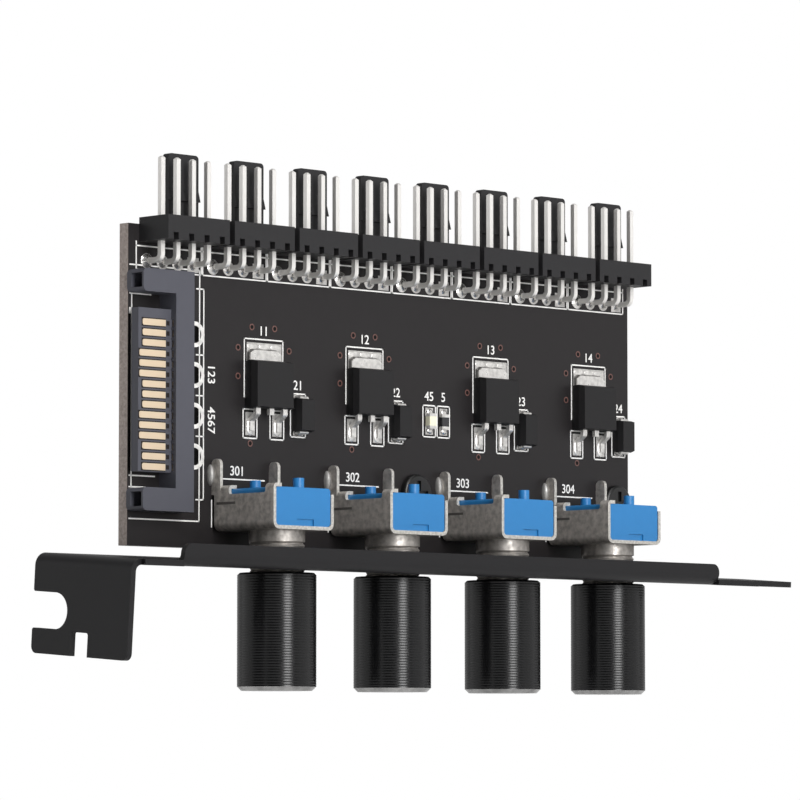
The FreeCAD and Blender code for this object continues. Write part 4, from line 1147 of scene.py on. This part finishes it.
def add_grain(material, base, look):
    """The grain group in a material, with a finish's values."""
    values = {
        "Color": (*base, 1),
        "Fleck Color": (*(look.fleck or shade(base, look.tone)), 1),
        "Fleck Amount": look.amount,
        "Scale": look.scale,
        "Contrast": look.contrast,
        "Roughness": look.roughness,
        "Roughness Spread": look.spread,
    }
    return place_group(material, grain_group(), values)


def grained(name, base):
    """A material with the flecks, uneven gloss and fine texture of its finish."""
    look = FINISHES[name]
    base = shade(base, look.level)
    material = finish(name, base, look.roughness, look.metallic, look.gloss)
    tree = material.node_tree
    shader = tree.nodes["Principled BSDF"]
    grain = add_grain(material, base, look)
    tree.links.new(grain.outputs["Color"], shader.inputs["Base Color"])
    tree.links.new(grain.outputs["Roughness"], shader.inputs["Roughness"])
    if look.bump:
        lift = tree.nodes.new("ShaderNodeBump")
        set_inputs(lift, {"Strength": BUMP_STRENGTH, "Distance": look.bump * MM})
        tree.links.new(grain.outputs["Height"], lift.inputs["Height"])
        tree.links.new(lift.outputs["Normal"], shader.inputs["Normal"])
    return material


def edged(material, edge, sheet_faces):
    """Shows another colour on the cut edges of a grained material."""
    tree = material.node_tree
    shader = tree.nodes["Principled BSDF"]
    source = shader.inputs["Base Color"].links[0].from_socket
    mark = place_group(material, cut_edge_group(), {"Sheet Faces": sheet_faces})
    speckle = add_grain(material, edge, FINISHES["cut_edge"])
    tree.links.new(speckle.outputs["Color"], mark.inputs["Edge Color"])
    tree.links.new(source, mark.inputs["Color"])
    tree.links.new(mark.outputs["Color"], shader.inputs["Base Color"])
    return material


def knob_finish(colours, chamfer_top):
    """Black over turned metal, which shows bare at the chamfer of the lower end."""
    material = grained("knob_black_and_bare_end", colours.knob)
    tree = material.node_tree
    shader = tree.nodes["Principled BSDF"]
    black = shader.inputs["Base Color"].links[0].from_socket
    mark = place_group(material, below_group(), {"Height": chamfer_top})
    look = FINISHES["bare_end"]
    brushed = add_grain(material, shade(colours.bare_metal, look.level), look)
    mixed = mix_colours(tree, mark.outputs["Mask"], black, brushed.outputs["Color"])
    tree.links.new(mixed, shader.inputs["Base Color"])
    tree.links.new(mark.outputs["Mask"], shader.inputs["Metallic"])
    return material


def cad_finishes(colours):
    """The material of each kind of CAD node, by the start of its name."""
    lead = grained("lead_tin", colours.tin)
    resin = grained("package_resin", colours.resin)
    metal = grained("shaft_metal", colours.bare_metal)
    return {
        "bracket": grained("powder_coat", colours.powder),
        "board_rivet": grained("rivet_plastic", colours.rivet),
        "board": edged(grained("solder_mask", colours.solder_mask), colours.laminate, (0, 1, 0)),
        "fan_header_pins": grained("pin_metal", colours.tin),
        "fan_header": grained("header_plastic", colours.header),
        "power_plug_housing": grained("plug_plastic", colours.plug),
        "power_plug_contacts": grained("contact_gold", colours.contact),
        "transistor_leads": lead,
        "transistor_body": resin,
        "diode_terminals": lead,
        "diode": resin,
        "lamp": grained("lamp_lens", colours.lamp),
        "resistor": grained("chip_glaze", colours.glaze),
        "chip_caps": lead,
        "pot_shell": edged(grained("shell_steel", colours.shell), colours.cut_edge, (1, 0, 0)),
        "pot_body": grained("pot_blue", colours.moulding),
        "pot_bushing": metal,
        "pot_shaft": metal,
        "pot_wiper": grained("rotor_plastic", colours.rotor),
        "pot_tracks": grained("track_board", colours.track),
        "pot_terminals": lead,
        "knob": knob_finish(colours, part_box("knob_1")[0][2] + KNOB_CHAMFER),
    }


class CARD_OT_finishes(Operator):
    """Give every solid of the card its finish"""

    bl_idname = "card.finishes"
    bl_label = "Finishes"

    def execute(self, context):
        finishes = cad_finishes(context.scene.card_colours)
        for node, piece in frame["nodes"].items():
            kind = max((start for start in finishes if node.startswith(start)), key=len)
            for holder in piece.material_slots:
                holder.material = finishes[kind]
        return {"FINISHED"}


def outward(azimuth, elevation):
    """A direction away from the object; azimuth 0 looks at its front."""
    turn = math.radians(azimuth)
    rise = math.radians(elevation)
    flat = math.cos(rise)
    return Vector((math.sin(turn) * flat, -math.cos(turn) * flat, math.sin(rise)))


def add_softbox(name, target, azimuth, elevation, reach, size, power):
    """A rectangular soft light that faces the object; its azimuth is counted from the camera's."""
    lamp = bpy.data.lights.new(name, "AREA")
    lamp.shape = "RECTANGLE"
    lamp.size, lamp.size_y = size
    lamp.energy = power
    holder = new_object(name, lamp)
    away = outward(CAMERA_AZIMUTH + azimuth, elevation)
    holder.location = target + away * reach
    holder.rotation_euler = (-away).to_track_quat("-Z", "Y").to_euler()


def studio_world(context):
    """A plain white room, in which the wall behind the object lights it most and the near side least."""
    world = bpy.data.worlds.new("studio")
    world.use_nodes = True
    tree = world.node_tree
    background = tree.nodes["Background"]
    direction = tree.nodes.new("ShaderNodeTexCoord")
    towards = tree.nodes.new("ShaderNodeVectorMath")
    towards.operation = "DOT_PRODUCT"
    towards.inputs[1].default_value = -outward(CAMERA_AZIMUTH, CAMERA_ELEVATION)
    tree.links.new(direction.outputs["Generated"], towards.inputs[0])
    share = tree.nodes.new("ShaderNodeMapRange")
    share.interpolation_type = "SMOOTHSTEP"
    set_inputs(share, WALLS)
    tree.links.new(towards.outputs["Value"], share.inputs["Value"])
    seen = tree.nodes.new("ShaderNodeLightPath")
    level = tree.nodes.new("ShaderNodeMix")
    level.inputs[3].default_value = 1
    tree.links.new(seen.outputs["Is Camera Ray"], level.inputs[0])
    tree.links.new(share.outputs["Result"], level.inputs[2])
    set_inputs(background, {"Color": (1, 1, 1, 1)})
    tree.links.new(level.outputs[0], background.inputs["Strength"])
    context.scene.world = world


class CARD_OT_stage(Operator):
    """Set the pale floor, the soft lights and the camera"""

    bl_idname = "card.stage"
    bl_label = "Stage"

    def execute(self, context):
        scene = context.scene
        target = BOARD_LOW + CAMERA_TARGET
        back = outward(CAMERA_AZIMUTH, CAMERA_ELEVATION)
        eye = target + back * CAMERA_DISTANCE
        camera = bpy.data.cameras.new("camera")
        camera.lens = CAMERA_LENS
        camera.sensor_width = SENSOR_WIDTH
        camera.clip_start = CLIP_START
        holder = new_object("camera", camera)
        holder.location = eye
        holder.rotation_euler = (-back).to_track_quat("-Z", "Y").to_euler()
        scene.camera = holder
        bm = bmesh.new()
        floor_top = eye.z - FLOOR_BELOW_EYE
        deep = (floor_top - FLOOR_THICKNESS, floor_top)
        add_block(bm, span(target.x, FLOOR_REACH), span(target.y, FLOOR_REACH), deep)
        solid(bm, "floor", finish("floor_paper", scene.card_colours.floor, FLOOR_ROUGHNESS))
        studio_world(context)
        for name, values in SOFTBOXES.items():
            add_softbox(name, target, *values)
        scene.view_settings.view_transform = "Standard"
        return {"FINISHED"}


class CARD_PT_panel(Panel):
    """Sizes, colours and pieces of the card"""

    bl_idname = "CARD_PT_panel"
    bl_label = "Fan controller card"
    bl_space_type = "VIEW_3D"
    bl_region_type = "UI"
    bl_category = "Card"

    def draw(self, context):
        layout = self.layout
        for group in GROUPS:
            owner = getattr(context.scene, group)
            column = layout.column(align=True)
            for name in owner.bl_rna.properties.keys():
                if name not in ("rna_type", "name"):
                    column.prop(owner, name)
        for operator in STEPS:
            layout.operator(operator.bl_idname)


STEPS = (
    CARD_OT_finishes,
    CARD_OT_board_print,
    CARD_OT_board_pads,
    CARD_OT_solder_joints,
    CARD_OT_vias,
    CARD_OT_contact_roots,
    CARD_OT_shell_slits,
    CARD_OT_bushings,
    CARD_OT_knob_rings,
    CARD_OT_stage,
)
GROUPS = {
    "card_print": PrintSizes,
    "card_solder": SolderSizes,
    "card_turning": TurningSizes,
    "card_colours": CardColours,
}
CLASSES = (*GROUPS.values(), *STEPS, CARD_PT_panel)


def register():
    for item in CLASSES:
        bpy.utils.register_class(item)
    for name, group in GROUPS.items():
        setattr(bpy.types.Scene, name, PointerProperty(type=group))


def unregister():
    for name in GROUPS:
        delattr(bpy.types.Scene, name)
    for item in reversed(CLASSES):
        bpy.utils.unregister_class(item)


def main():
    register()
    for step in STEPS:
        area, name = step.bl_idname.split(".")
        if getattr(getattr(bpy.ops, area), name)() != {"FINISHED"}:
            raise RuntimeError(f"{step.bl_label} did not finish")


if __name__ == "__main__":
    main()
